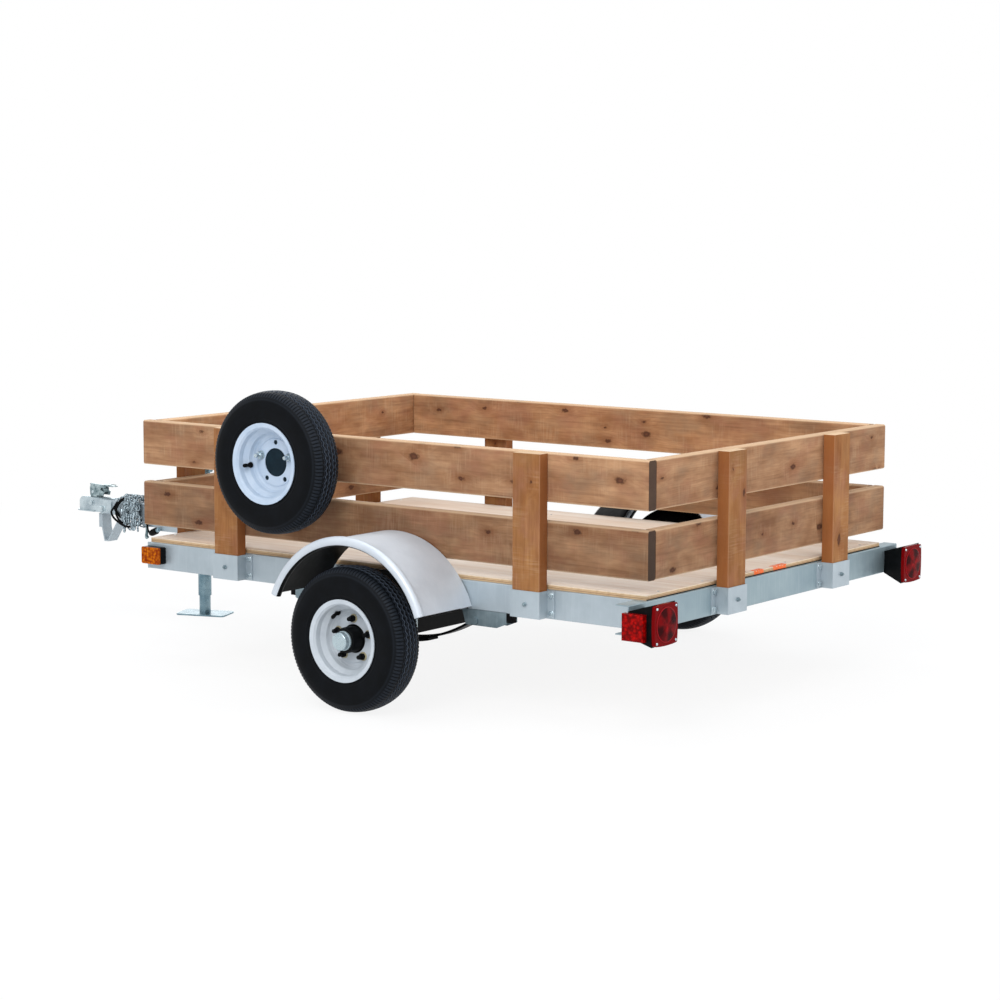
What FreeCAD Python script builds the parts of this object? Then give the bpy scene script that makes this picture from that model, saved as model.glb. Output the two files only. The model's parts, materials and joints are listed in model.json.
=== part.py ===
import FreeCAD, Part
import os
from math import asin, atan2, cos, degrees, pi, radians, sin, sqrt, tan
from FreeCAD import Placement, Rotation, Vector

# A small single-axle utility trailer, parked on its two wheels and its tongue jack.
# X points forwards to the coupler, Y to the trailer's left, Z up from the ground.
# The origin is on the ground under the middle of the overall box. Millimetres.

# Load bed
FRAME_LENGTH = 1817.0
FRAME_WIDTH = 1285.0
RAIL_TOP = 368.0
RAIL_HEIGHT = 80.0
RAIL_FLANGE = 42.0
RAIL_WALL = 3.2
RAIL_BEND = 3.0
REAR_RAIL_REACH = 88.0
DECK_THICKNESS = 13.0
DECK_INSET = 8.0
CROSS_MEMBER_REACH = 340.0

# Side boards and their stakes
BOARD_HEIGHT = 133.0
BOARD_THICKNESS = 36.0
BOARD_GAP = 52.0
BOARD_EDGE_RADIUS = 6.0
BOARD_OVERHANG = 12.0
BOARD_END_GAP = 1.5
STAKE_WIDTH = 91.0
STAKE_THICKNESS = 38.0
STAKE_RISE = 3.0
SIDE_STAKE_OFFSET = 546.0
FRONT_STAKE_OFFSET = 430.0
REAR_STAKE_LEFT = 259.0
REAR_STAKE_RIGHT = 315.0
POCKET_WALL = 3.0
POCKET_FLANGE = 22.0
POCKET_INSET = 3.0
POCKET_CLEARANCE = 0.5

# Wheels, axle and springs
TYRE_DIAMETER = 408.0
TYRE_WIDTH = 112.0
TREAD_WIDTH = 58.0
TYRE_WALL = 9.0
TREAD_THICKNESS = 15.0
TYRE_CROWN = 3.0
TYRE_FIT = 0.3
RIM_DIAMETER = 203.2
RIM_FLANGE_HEIGHT = 14.0
RIM_WIDTH = 100.0
RIM_WALL = 3.0
RIM_WELL = 13.0
BOLT_RING_DIAMETER = 136.0
BOLT_RING_RISE = 2.0
WHEEL_BOLT_CIRCLE = 114.3
WHEEL_BOLTS = 5
WHEEL_BOLT_HOLE = 14.0
WHEEL_BORE = 81.0
WHEEL_OUTREACH = 190.0
AXLE_FROM_REAR = 842.0
AXLE_BEAM = 38.0
SPINDLE_DIAMETER = 25.4
BEARING_CLEARANCE = 0.3
HUB_DIAMETER = 72.0
HUB_REACH = 44.0
HUB_FLANGE_THICKNESS = 8.0
CAP_DIAMETER = 48.0
CAP_REACH = 22.5
SPRING_SPAN = 552.0
SPRING_SEAT_GAP = 0.5
LEAF_WIDTH = 44.0
LEAF_THICKNESS = 7.0
SECOND_LEAF_REACH = 107.0
SPRING_EYE_WALL = 6.0
SPRING_BOLT = 12.0
SPRING_SIDE_CLEARANCE = 1.0
HANGER_LENGTH = 152.0
HANGER_DEPTH = 44.0
HANGER_WALL = 3.0
HANGER_BOLT_INSET = 105.0
HANGER_BOLT_DROP = 30.0
CLAMP_ROD = 10.0
CLAMP_PLATE = 6.0
STOP_BLOCK = 20.0
STOP_BLOCK_HEIGHT = 26.0

# Fenders
FENDER_RADIUS = 281.0
FENDER_SHEET = 2.0
FENDER_OUTREACH = 240.0
FENDER_INNER_GAP = 4.0
FENDER_FRONT_ANGLE = 22.0
FENDER_REAR_ANGLE = 19.4
FENDER_BEAD_RADIUS = 14.0
FENDER_BEAD_DROP = 7.0
FENDER_BRACKET_ANGLE = 8.0

# Tongue and coupler
TONGUE_REACH = 949.0
TONGUE_TUBE = 51.0
TONGUE_WALL = 3.0
TONGUE_CORNER = 6.0
TONGUE_RISE = 36.0
CHANNEL_SETBACK = 322.0
CHANNEL_CUT_LENGTH = 82.0
CHANNEL_CUT_RISE = 10.0
CHANNEL_TOP_DROP = 7.0
BALL_DIAMETER = 50.8
COUPLER_WALL = 4.0
COUPLER_WIDTH = 60.0
COUPLER_LENGTH = 175.0
COUPLER_DEPTH = 46.0
COUPLER_LIP = 6.0
COUPLER_LIP_LENGTH = 97.0
COUPLER_CROWN = 20.0
COUPLER_LAP = 52.0
BALL_DROP = 27.0
LATCH_SETBACK = 63.0
LATCH_LENGTH = 65.0
LATCH_HEIGHT = 43.0
LATCH_WIDTH = 34.0
LATCH_NECK = 6.0
LATCH_NECK_LENGTH = 30.0
LEVER_LENGTH = 109.0
LEVER_SHEET = 3.0
LEVER_EDGE = 10.0
LEVER_FALL = 5.0
LEVER_TIP = 14.0
STRAP_WIDTH = 42.0
STRAP_THICKNESS = 5.0
STRAP_SETBACK = 118.0
STRAP_DROP = 94.0
STRAP_SPAN = 96.0
STRAP_PAD = 10.0
STRAP_PAD_HEIGHT = 47.0

# Jack
JACK_SETBACK = 494.0
JACK_STANDOFF = 62.0
JACK_TUBE = 44.5
JACK_WALL = 3.0
JACK_TUBE_BOTTOM = 65.0
JACK_TUBE_LENGTH = 446.0
JACK_LEG_LENGTH = 420.0
JACK_CRANK = 130.0
JACK_HANDLE = 94.0
JACK_GRIP = 76.0
JACK_PLATE_LENGTH = 110.0
JACK_PLATE_THICKNESS = 6.0
FOOT_LENGTH = 174.0
FOOT_WIDTH = 104.0
FOOT_THICKNESS = 5.0
FOOT_TURN = 20.0
FOOT_CORNER = 14.0

# Safety chain and lamp cable, stowed round the tongue
CHAIN_SETBACK = 231.0
CHAIN_STEP = 19.0
CHAIN_TURNS = 4.0
CHAIN_WIRE = 4.6
CHAIN_PITCH = 24.0
CHAIN_SLACK = 1.9
CHAIN_WIDTH = 19.0
CHAIN_STANDOFF = 16.2
CHAIN_SQUARENESS = 2.2
CHAIN_LEAN = 12.0
CHAIN_SAG = 10.0
CHAIN_UNEVENNESS = 0.5
CHAIN_WIRE_SIDES = 6
CABLE_SETBACK = 222.0
CABLE_DIAMETER = 8.0
CABLE_VERTEX = 34.0
CABLE_LEAN = 8.0
CABLE_BEND = 16.0
CABLE_LAP = 12.0
WRAP_CLEARANCE = 0.3

# Lamps
LAMP_WIDTH = 110.0
LAMP_HEIGHT = 111.0
LAMP_DEPTH = 73.0
LAMP_INBOARD = 19.0
LAMP_RISE = 8.0
LAMP_TAPER = 22.0
LAMP_SIDE_TAPER = 30.0
LENS_THICKNESS = 10.0
LENS_BOW = 3.0
LENS_CORNER = 6.0
LENS_DISC_DIAMETER = 94.0
LENS_STEP = 1.5
LENS_DOME = 5.0
MARKER_LENGTH = 66.0
MARKER_HEIGHT = 72.0
MARKER_REACH = 20.0
MARKER_LAP = 9.0
MARKER_DROP = 6.0
AMBER_LENGTH = 75.0
AMBER_HEIGHT = 51.0
AMBER_DEPTH = 28.0
AMBER_BASE = 24.0
AMBER_INSET = 1.0
AMBER_RISE = 3.5

# Spare wheel
SPARE_FROM_REAR = 1168.0
SPARE_RISE = 299.0
SPARE_OUTREACH = 142.0
CARRIER_BAR = 5.0
CARRIER_WIDTH = 46.0
CARRIER_SPAN = 112.0

# Places that follow from the sizes above
RAIL_BOTTOM = RAIL_TOP - RAIL_HEIGHT
HALF_WIDTH = FRAME_WIDTH / 2
LENS_REACH = LAMP_DEPTH + LENS_THICKNESS + LENS_DOME
OVERALL_LENGTH = LENS_REACH + FRAME_LENGTH + TONGUE_REACH
REAR_X = LENS_REACH - OVERALL_LENGTH / 2
FRONT_X = REAR_X + FRAME_LENGTH
NOSE_X = FRONT_X + TONGUE_REACH
DECK_TOP = RAIL_TOP + DECK_THICKNESS
LOWER_BOARD = RAIL_TOP + BOARD_GAP
UPPER_BOARD = LOWER_BOARD + BOARD_HEIGHT + BOARD_GAP
BOARD_TOP = UPPER_BOARD + BOARD_HEIGHT
AXLE_X = REAR_X + AXLE_FROM_REAR
AXLE_Z = TYRE_DIAMETER / 2
WHEEL_Y = HALF_WIDTH + WHEEL_OUTREACH
TUBE_BOTTOM = RAIL_BOTTOM + TONGUE_RISE
TUBE_TOP = TUBE_BOTTOM + TONGUE_TUBE
UP = Vector(0, 0, 1)


def box(x0, x1, y0, y1, z0, z1):
    """Axis-aligned block between two opposite corners."""
    low = Vector(min(x0, x1), min(y0, y1), min(z0, z1))
    return Part.makeBox(abs(x1 - x0), abs(y1 - y0), abs(z1 - z0), low)


def rod(start, end, radius):
    """Round bar from one point to another."""
    along = end - start
    return Part.makeCylinder(radius, along.Length, start, along)


def side_plate(points, y0, y1):
    """Flat outline given as (x, z) points, carried from y0 to y1."""
    loop = [Vector(x, min(y0, y1), z) for x, z in points]
    face = Part.Face(Part.makePolygon(loop + loop[:1]))
    return face.extrude(Vector(0, abs(y1 - y0), 0))


def ring_about_y(points, centre):
    """Solid of revolution: (radius, y) points turned about the Y line through centre."""
    loop = [Vector(centre.x + r, centre.y + y, centre.z) for r, y in points]
    face = Part.Face(Part.makePolygon(loop + loop[:1]))
    return face.revolve(centre, Vector(0, 1, 0), 360)


def mirrored(shape):
    """The same piece on the trailer's other side."""
    return shape.mirror(Vector(0, 0, 0), Vector(0, 1, 0))


def fused(shapes):
    """One solid out of pieces that meet."""
    whole = shapes[0].fuse(shapes[1:]) if len(shapes) > 1 else shapes[0]
    return whole.removeSplitter()


def both_sides(shape):
    return [shape, mirrored(shape)]


def save(node, shapes):
    """Write one sub-part, a single solid or several that stand apart."""
    shapes = shapes if isinstance(shapes, list) else [shapes]
    solids = [solid for shape in shapes for solid in shape.Solids]
    whole = solids[0] if len(solids) == 1 else Part.makeCompound(solids)
    whole.exportStep("parts/" + node + ".step")
    print(node, len(solids), round(whole.Volume / 1000.0, 1), "cm3", whole.isValid())


def rolled(rail, direction, face):
    """Round the two outer long edges of a pressed rail whose web lies on the given face."""
    bends = [e for e in rail.Edges if abs(e.tangentAt(e.FirstParameter).dot(direction)) > 0.99
             and abs(direction.cross(UP).dot(e.CenterOfMass) - face) < 0.1
             and min(abs(e.CenterOfMass.z - RAIL_TOP), abs(e.CenterOfMass.z - RAIL_BOTTOM)) < 0.1]
    return rail.makeFillet(RAIL_BEND, bends)


def side_rail():
    """Left rail: a channel with its web outside and its flanges turned inwards."""
    x0, x1 = REAR_X + RAIL_WALL, FRONT_X - RAIL_WALL
    web = box(x0, x1, HALF_WIDTH - RAIL_WALL, HALF_WIDTH, RAIL_BOTTOM, RAIL_TOP)
    lower = box(x0, x1, HALF_WIDTH - RAIL_FLANGE, HALF_WIDTH, RAIL_BOTTOM, RAIL_BOTTOM + RAIL_WALL)
    upper = lower.translated(Vector(0, 0, RAIL_HEIGHT - RAIL_WALL))
    return rolled(fused([web, lower, upper]), Vector(1, 0, 0), -HALF_WIDTH)


def end_rail(x_face, inward):
    """Front or rear rail; its flanges stop at those of the side rails."""
    y1 = HALF_WIDTH - RAIL_FLANGE
    x1 = x_face + inward * RAIL_WALL
    x2 = x_face + inward * RAIL_FLANGE
    web = box(x_face, x1, -HALF_WIDTH, HALF_WIDTH, RAIL_BOTTOM, RAIL_TOP)
    lower = box(x_face, x2, -y1, y1, RAIL_BOTTOM, RAIL_BOTTOM + RAIL_WALL)
    upper = lower.translated(Vector(0, 0, RAIL_HEIGHT - RAIL_WALL))
    return fused([web, lower, upper])


def rear_rail():
    """Rear rail, carried on past both side rails to hold the tail lamps."""
    rail = end_rail(REAR_X, 1)
    y0, y1 = HALF_WIDTH, HALF_WIDTH + REAR_RAIL_REACH
    web = box(REAR_X, REAR_X + RAIL_WALL, y0 - 1.0, y1, RAIL_BOTTOM, RAIL_TOP)
    lower = box(REAR_X, REAR_X + RAIL_FLANGE, y0, y1, RAIL_BOTTOM, RAIL_BOTTOM + RAIL_WALL)
    upper = lower.translated(Vector(0, 0, RAIL_HEIGHT - RAIL_WALL))
    end = fused([web, lower, upper])
    return rolled(fused([rail, end, mirrored(end)]), Vector(0, 1, 0), REAR_X)


def channel_half_width():
    return TONGUE_TUBE / 2 + TONGUE_WALL


def front_rail():
    """Front rail with the slot that the tongue channel passes through."""
    half = channel_half_width()
    slot = box(FRONT_X - 2 * RAIL_FLANGE, FRONT_X + 1, -half, half,
               RAIL_BOTTOM - 1, RAIL_TOP - CHANNEL_TOP_DROP)
    return rolled(end_rail(FRONT_X, -1), Vector(0, 1, 0), FRONT_X).cut(slot)


def cross_member(x_web):
    """Channel across the bed, coped so that its web reaches into both side rails."""
    y_flange = HALF_WIDTH - RAIL_FLANGE
    y_web = HALF_WIDTH - RAIL_WALL
    z0, z1 = RAIL_BOTTOM + RAIL_WALL, RAIL_TOP - RAIL_WALL
    web = box(x_web, x_web + RAIL_WALL, -y_web, y_web, z0, z1)
    lower = box(x_web, x_web - RAIL_FLANGE + RAIL_WALL, -y_flange, y_flange, RAIL_BOTTOM, z0)
    upper = lower.translated(Vector(0, 0, RAIL_HEIGHT - RAIL_WALL))
    stem = box(x_web, x_web + RAIL_WALL, -y_flange, y_flange, RAIL_BOTTOM, RAIL_TOP)
    return fused([web, lower, upper, stem])


def deck():
    """Plywood floor, a little inside the outer faces of the rails."""
    y = HALF_WIDTH - DECK_INSET
    return box(REAR_X + DECK_INSET, FRONT_X - DECK_INSET, -y, y, RAIL_TOP, DECK_TOP)


def eased(board, direction):
    """Round the long edges of a board that runs along the given axis."""
    long_edges = [e for e in board.Edges if abs(e.tangentAt(e.FirstParameter).dot(direction)) > 0.99]
    return board.makeFillet(BOARD_EDGE_RADIUS, long_edges)


def board_pair(x0, x1, y0, y1, direction):
    """Lower and upper board of one side."""
    lower = eased(box(x0, x1, y0, y1, LOWER_BOARD, LOWER_BOARD + BOARD_HEIGHT), direction)
    return [lower, lower.translated(Vector(0, 0, BOARD_HEIGHT + BOARD_GAP))]


def boards():
    """Left boards lap both ends; front and rear boards lap the ends of the right ones."""
    along, across = Vector(1, 0, 0), Vector(0, 1, 0)
    inner = HALF_WIDTH - BOARD_THICKNESS
    end_left = inner - BOARD_END_GAP
    lap = BOARD_THICKNESS + BOARD_END_GAP
    return {
        "boards_left": board_pair(REAR_X, FRONT_X + BOARD_OVERHANG, inner, HALF_WIDTH, along),
        "boards_right": board_pair(REAR_X + lap, FRONT_X - lap, -HALF_WIDTH, -inner, along),
        "boards_front": board_pair(FRONT_X - BOARD_THICKNESS, FRONT_X, -HALF_WIDTH, end_left, across),
        "boards_rear": board_pair(REAR_X, REAR_X + BOARD_THICKNESS, -HALF_WIDTH, end_left, across),
    }


def stake(centre, outward):
    """Upright post against the outer face of the boards, standing in its pocket."""
    bottom = RAIL_BOTTOM + POCKET_INSET
    top = BOARD_TOP + STAKE_RISE
    post = Part.makeBox(STAKE_WIDTH, STAKE_THICKNESS, top - bottom, Vector(-STAKE_WIDTH / 2, 0, 0))
    uprights = [e for e in post.Edges if abs(e.tangentAt(e.FirstParameter).z) > 0.99]
    post = post.makeFillet(BOARD_EDGE_RADIUS / 2, uprights)
    return seated(post, centre, outward, bottom)


def seated(shape, centre, outward, z):
    """Turn a piece whose back is on y=0 and whose front looks along +Y to a rail's face."""
    turn = degrees(atan2(outward.y, outward.x)) - 90.0
    shape = shape.copy()
    shape.Placement = Placement(Vector(centre.x, centre.y, z), Rotation(UP, turn))
    return shape


def pocket():
    """Pressed steel strap round three sides of a stake, with two flanges on the rail."""
    height = RAIL_HEIGHT - 2 * POCKET_INSET
    inner = STAKE_WIDTH / 2 + POCKET_CLEARANCE
    outer = inner + POCKET_WALL
    depth = STAKE_THICKNESS + POCKET_CLEARANCE
    loop = [(-outer - POCKET_FLANGE, 0), (-inner, 0), (-inner, depth), (inner, depth), (inner, 0),
            (outer + POCKET_FLANGE, 0), (outer + POCKET_FLANGE, POCKET_WALL), (outer, POCKET_WALL),
            (outer, depth + POCKET_WALL), (-outer, depth + POCKET_WALL), (-outer, POCKET_WALL),
            (-outer - POCKET_FLANGE, POCKET_WALL)]
    points = [Vector(x, y, 0) for x, y in loop]
    return Part.Face(Part.makePolygon(points + points[:1])).extrude(Vector(0, 0, height))


def stake_places():
    """Every stake as (side, point on the rail's outer face, outward direction)."""
    middle = (REAR_X + FRONT_X + BOARD_OVERHANG) / 2
    places = []
    for sign, side in ((1, "left"), (-1, "right")):
        for step in (-1, 1):
            point = Vector(middle + step * SIDE_STAKE_OFFSET, sign * HALF_WIDTH, 0)
            places.append((side, point, Vector(0, sign, 0)))
        places.append(("front", Vector(FRONT_X, sign * FRONT_STAKE_OFFSET, 0), Vector(1, 0, 0)))
    for y in (REAR_STAKE_LEFT, -REAR_STAKE_RIGHT):
        places.append(("rear", Vector(REAR_X, y, 0), Vector(-1, 0, 0)))
    return places


def tyre(centre):
    """Hollow ring: beads against the rim's flanges, bowed sidewalls, crowned tread."""
    seat = RIM_DIAMETER / 2 + TYRE_FIT
    lip = RIM_DIAMETER / 2 + RIM_FLANGE_HEIGHT
    radius = TYRE_DIAMETER / 2
    half = TYRE_WIDTH / 2
    flange = RIM_WIDTH / 2
    side = (lip + radius) / 2

    def spot(r, y):
        return Vector(centre.x + r, centre.y + y, centre.z)

    def arc(a, b, c):
        return Part.Arc(spot(*a), spot(*b), spot(*c)).toShape()

    def line(a, b):
        return Part.makeLine(spot(*a), spot(*b))

    heel, toe = (seat, flange - 5.0), (seat, flange - 14.0)
    foot, top = (seat + 5.0, flange - 0.7), (lip + 2.0, flange + 1.4)
    hip, edge = (radius - 23.5, half - 4.0), (radius - TYRE_CROWN, TREAD_WIDTH / 2)
    turn = (radius - 8.5, half - 14.0)
    wall, tread = half - TYRE_WALL, radius - TREAD_THICKNESS
    inner_hip = (tread - 8.0, wall - 6.0)

    def half_outline(m):
        """Edges of one half from the crown's end to the bead's toe, on the side m."""
        e, t, h, u, f, k, o = [(r, m * y) for r, y in (edge, turn, hip, top, foot, heel, toe)]
        return [arc(e, t, h), arc(h, (side, m * half), u), line(u, f), line(f, k), line(k, o),
                arc(o, (side - 4.0, m * wall), (inner_hip[0], m * inner_hip[1]))]

    crown = arc((edge[0], -edge[1]), (radius, 0.0), edge)
    roof = arc((inner_hip[0], -inner_hip[1]), (tread, 0.0), inner_hip)
    wire = Part.Wire(Part.sortEdges([crown] + half_outline(1) + [roof] + half_outline(-1))[0])
    return Part.Face(wire).revolve(centre, Vector(0, 1, 0), 360)


def rim(centre, outward):
    """Pressed wheel: flanged drop-centre barrel, and a bowl whose bolt holes are in a raised ring."""
    s = outward
    seat = RIM_DIAMETER / 2
    lip = seat + RIM_FLANGE_HEIGHT
    half = RIM_WIDTH / 2
    well = seat - RIM_WELL
    t = RIM_WALL
    barrel = [(lip, half + 5), (lip, half + 2), (seat + 4, half), (seat, half - 4), (seat - 2, half - 18),
              (well, half - 28), (well, -half + 28), (seat - 2, -half + 18), (seat, -half + 4),
              (seat + 4, -half), (lip, -half - 2), (lip, -half - 5), (seat + 2, -half - t),
              (seat - t, -half + 3), (seat - t - 2, -half + 18), (well - t, -half + 28 + t),
              (well - t, half - 28 - t), (seat - t - 2, half - 18), (seat - t, half - 3), (seat + 2, half + t)]
    ring, low, top = BOLT_RING_DIAMETER / 2, t / 2 - BOLT_RING_RISE, half - 28 - t
    face = [(WHEEL_BORE / 2, t / 2), (ring - 1, t / 2), (ring + 1, low), (ring + 6, low), (ring + 11, low + 3),
            (ring + 15, low + 9), (well - t, top)]
    disc = face + [(well - t, top - 2 * t)] + [(r, y - t) for r, y in face[-2::-1]]
    wheel = fused([ring_about_y([(r, s * y) for r, y in barrel], centre),
                   ring_about_y([(r, s * y) for r, y in disc], centre)])
    reach = Vector(0, TYRE_WIDTH, 0)
    holes = [rod(spot - reach / 2, spot + reach / 2, WHEEL_BOLT_HOLE / 2) for spot in bolt_spots(centre)]
    return wheel.cut(holes)


def bolt_spots(centre):
    """Wheel bolt centres, the first one straight up."""
    r = WHEEL_BOLT_CIRCLE / 2
    turns = [radians(90.0 + 360.0 * i / WHEEL_BOLTS) for i in range(WHEEL_BOLTS)]
    return [centre + Vector(r * cos(a), 0, r * sin(a)) for a in turns]


def hub(centre, outward):
    """Hub on its spindle: inner barrel, bolt flange, outer barrel, dust cap, studs and nuts."""
    axis = Vector(0, outward, 0)
    back = -(RIM_WALL / 2 + HUB_FLANGE_THICKNESS)
    front = -RIM_WALL / 2
    barrel = rod(centre + axis * (back - 36.0), centre + axis * HUB_REACH, HUB_DIAMETER / 2)
    flange = rod(centre + axis * back, centre + axis * front, BOLT_RING_DIAMETER / 2 - 2.0)
    cap_top = HUB_REACH + CAP_REACH
    cap = rod(centre + axis * HUB_REACH, centre + axis * cap_top, CAP_DIAMETER / 2)
    cap_edge = [e for e in cap.Edges if e.BoundBox.YLength < 0.1
                and abs(e.BoundBox.YMin - (centre.y + outward * cap_top)) < 0.1]
    cap = cap.makeFillet(5.0, cap_edge)
    collar = rod(centre + axis * HUB_REACH, centre + axis * (HUB_REACH + 5.0), CAP_DIAMETER / 2 + 3.0)
    pieces = [barrel, flange, cap, collar]
    for spot in bolt_spots(centre):
        pieces.append(rod(spot + axis * front, spot + axis * 26.0, 6.0))
        pieces.append(hex_nut(spot + axis * (RIM_WALL / 2), axis, 19.0, 13.0))
    bore = rod(centre + axis * (back - 37.0), centre + axis * (HUB_REACH - 4.0),
               SPINDLE_DIAMETER / 2 + BEARING_CLEARANCE)
    return fused(pieces).cut(bore)


def hex_nut(seat, axis, across_flats, height):
    """Hexagonal nut or bolt head standing on a seat."""
    r = across_flats / sqrt(3.0)
    side = UP if abs(axis.z) < 0.9 else Vector(1, 0, 0)
    other = axis.cross(side)
    points = [seat + side * (r * cos(radians(60 * i))) + other * (r * sin(radians(60 * i)))
              for i in range(6)]
    return Part.Face(Part.makePolygon(points + points[:1])).extrude(axis * height)


def spring_y():
    """Middle line of a leaf spring, under the flange of the left rail."""
    return HALF_WIDTH - HANGER_WALL - SPRING_SIDE_CLEARANCE - LEAF_WIDTH / 2


def axle_beam():
    """Square beam under the springs' load, with a round spindle into each hub."""
    end = WHEEL_Y - RIM_WALL / 2 - HUB_FLANGE_THICKNESS - 36.0 - 4.0
    h = AXLE_BEAM / 2
    beam = box(AXLE_X - h, AXLE_X + h, -end, end, AXLE_Z - h, AXLE_Z + h)
    tip = WHEEL_Y + HUB_REACH - 6.0
    spindle = rod(Vector(AXLE_X, -tip, AXLE_Z), Vector(AXLE_X, tip, AXLE_Z), SPINDLE_DIAMETER / 2)
    return fused([beam, spindle])


def leaf(top_middle, half_chord, drop, thickness, y):
    """Part of a ring: a curved leaf hung from its two ends, its lowest point in the middle."""
    radius = (half_chord ** 2 + drop ** 2) / (2 * drop)
    centre = Vector(AXLE_X, y - LEAF_WIDTH / 2, top_middle + radius)
    sweep = 2 * degrees(asin(half_chord / radius))
    start = Vector(AXLE_X, y - LEAF_WIDTH / 2, top_middle - thickness)
    face = Part.Face(Part.makePolygon([start, start + Vector(0, LEAF_WIDTH, 0),
                                       start + Vector(0, LEAF_WIDTH, thickness),
                                       start + Vector(0, 0, thickness), start]))
    face.rotate(centre, Vector(0, 1, 0), -sweep / 2)
    return face.revolve(centre, Vector(0, 1, 0), sweep)


def spring_ends():
    """The spring's two bolt centres as (x, z)."""
    z = RAIL_BOTTOM - HANGER_BOLT_DROP
    return [(AXLE_X - SPRING_SPAN / 2, z), (AXLE_X + SPRING_SPAN / 2, z)]


def leaf_spring():
    """Main leaf with an eye rolled down at each end and a shorter leaf under it."""
    y = spring_y()
    top = AXLE_Z - AXLE_BEAM / 2 - SPRING_SEAT_GAP
    eye = SPRING_BOLT / 2 + BEARING_CLEARANCE
    radius = eye + SPRING_EYE_WALL
    half = SPRING_SPAN / 2
    drop = RAIL_BOTTOM - HANGER_BOLT_DROP + radius - 1.0 - top
    main = leaf(top, half, drop, LEAF_THICKNESS, y)
    bend = (half ** 2 + drop ** 2) / (2 * drop) + LEAF_THICKNESS
    short_drop = bend - sqrt(bend ** 2 - SECOND_LEAF_REACH ** 2)
    second = leaf(top - LEAF_THICKNESS, SECOND_LEAF_REACH, short_drop, LEAF_THICKNESS, y)
    rolls, bores = [], []
    for x, z in spring_ends():
        a, b = Vector(x, y - LEAF_WIDTH / 2, z), Vector(x, y + LEAF_WIDTH / 2, z)
        rolls.append(rod(a, b, radius))
        bores.append(rod(a, b, eye))
    return fused([main, second] + rolls).cut(bores)


def spring_hanger(x_bolt, z_bolt, toward_axle):
    """Inverted channel under the rail with clipped lower corners and the spring's bolt."""
    y1 = HALF_WIDTH
    y0 = y1 - 2 * HANGER_WALL - 2 * SPRING_SIDE_CLEARANCE - LEAF_WIDTH
    near = x_bolt + toward_axle * (HANGER_LENGTH - HANGER_BOLT_INSET)
    far = x_bolt - toward_axle * HANGER_BOLT_INSET
    clip = 13.0
    low = RAIL_BOTTOM - HANGER_DEPTH
    outline = [(near, RAIL_BOTTOM), (near - toward_axle * clip, low), (far + toward_axle * 2.5 * clip, low),
               (far, low + clip), (far, RAIL_BOTTOM)]
    body = side_plate(outline, y0, y1)
    space = box(near + toward_axle, far - toward_axle, y0 + HANGER_WALL, y1 - HANGER_WALL,
                low - 1, RAIL_BOTTOM - HANGER_WALL)
    bolt = rod(Vector(x_bolt, y0 - 10.0, z_bolt), Vector(x_bolt, y1 + 2.0, z_bolt), SPRING_BOLT / 2)
    head = hex_nut(Vector(x_bolt, y1, z_bolt), Vector(0, 1, 0), 19.0, 7.0)
    nut = hex_nut(Vector(x_bolt, y0, z_bolt), Vector(0, -1, 0), 19.0, 10.0)
    return fused([body.cut(space), bolt, head, nut])


def stop_block(x_bolt, toward_axle):
    """Small block under the rail just past a hanger's outer end."""
    x0 = x_bolt - toward_axle * HANGER_BOLT_INSET
    x1 = x0 - toward_axle * STOP_BLOCK
    return box(x0, x1, HALF_WIDTH - STOP_BLOCK, HALF_WIDTH - HANGER_WALL,
               RAIL_BOTTOM - STOP_BLOCK_HEIGHT, RAIL_BOTTOM)


def spring_clamp():
    """Plate under the leaves and two square-bent rods over the axle beam."""
    y = spring_y()
    h = AXLE_BEAM / 2
    r = CLAMP_ROD / 2
    leaves = AXLE_Z - h - SPRING_SEAT_GAP - 2 * LEAF_THICKNESS
    leg_x = h + r
    leg_y = LEAF_WIDTH / 2 + r
    plate = box(AXLE_X - leg_x - 12, AXLE_X + leg_x + 12, y - leg_y - 12, y + leg_y + 12,
                leaves - CLAMP_PLATE, leaves)
    pieces = [plate]
    top = AXLE_Z + h + r
    for sy in (-1, 1):
        corners = [Vector(AXLE_X + sx * leg_x, y + sy * leg_y, z) for sx, z in
                   ((-1, leaves - CLAMP_PLATE - 16), (-1, top), (1, top), (1, leaves - CLAMP_PLATE - 16))]
        for a, b in zip(corners, corners[1:]):
            pieces.append(rod(a, b, r))
        pieces += [Part.makeSphere(r, corner) for corner in corners[1:3]]
        for foot in (corners[0], corners[3]):
            pieces.append(hex_nut(Vector(foot.x, foot.y, leaves - CLAMP_PLATE), Vector(0, 0, -1), 16.0, 8.0))
    return fused(pieces)


def arc_sheet(r_in, r_out, y0, y1, a0, a1):
    """Part of a ring about the axle line, between two angles above the horizontal."""
    corners = [Vector(AXLE_X + r, y, AXLE_Z) for r, y in ((r_in, y0), (r_out, y0), (r_out, y1), (r_in, y1))]
    face = Part.Face(Part.makePolygon(corners + corners[:1]))
    middle = Vector(AXLE_X, 0, AXLE_Z)
    face.rotate(middle, Vector(0, 1, 0), -a0)
    return face.revolve(middle, Vector(0, 1, 0), a0 - a1)


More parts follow.
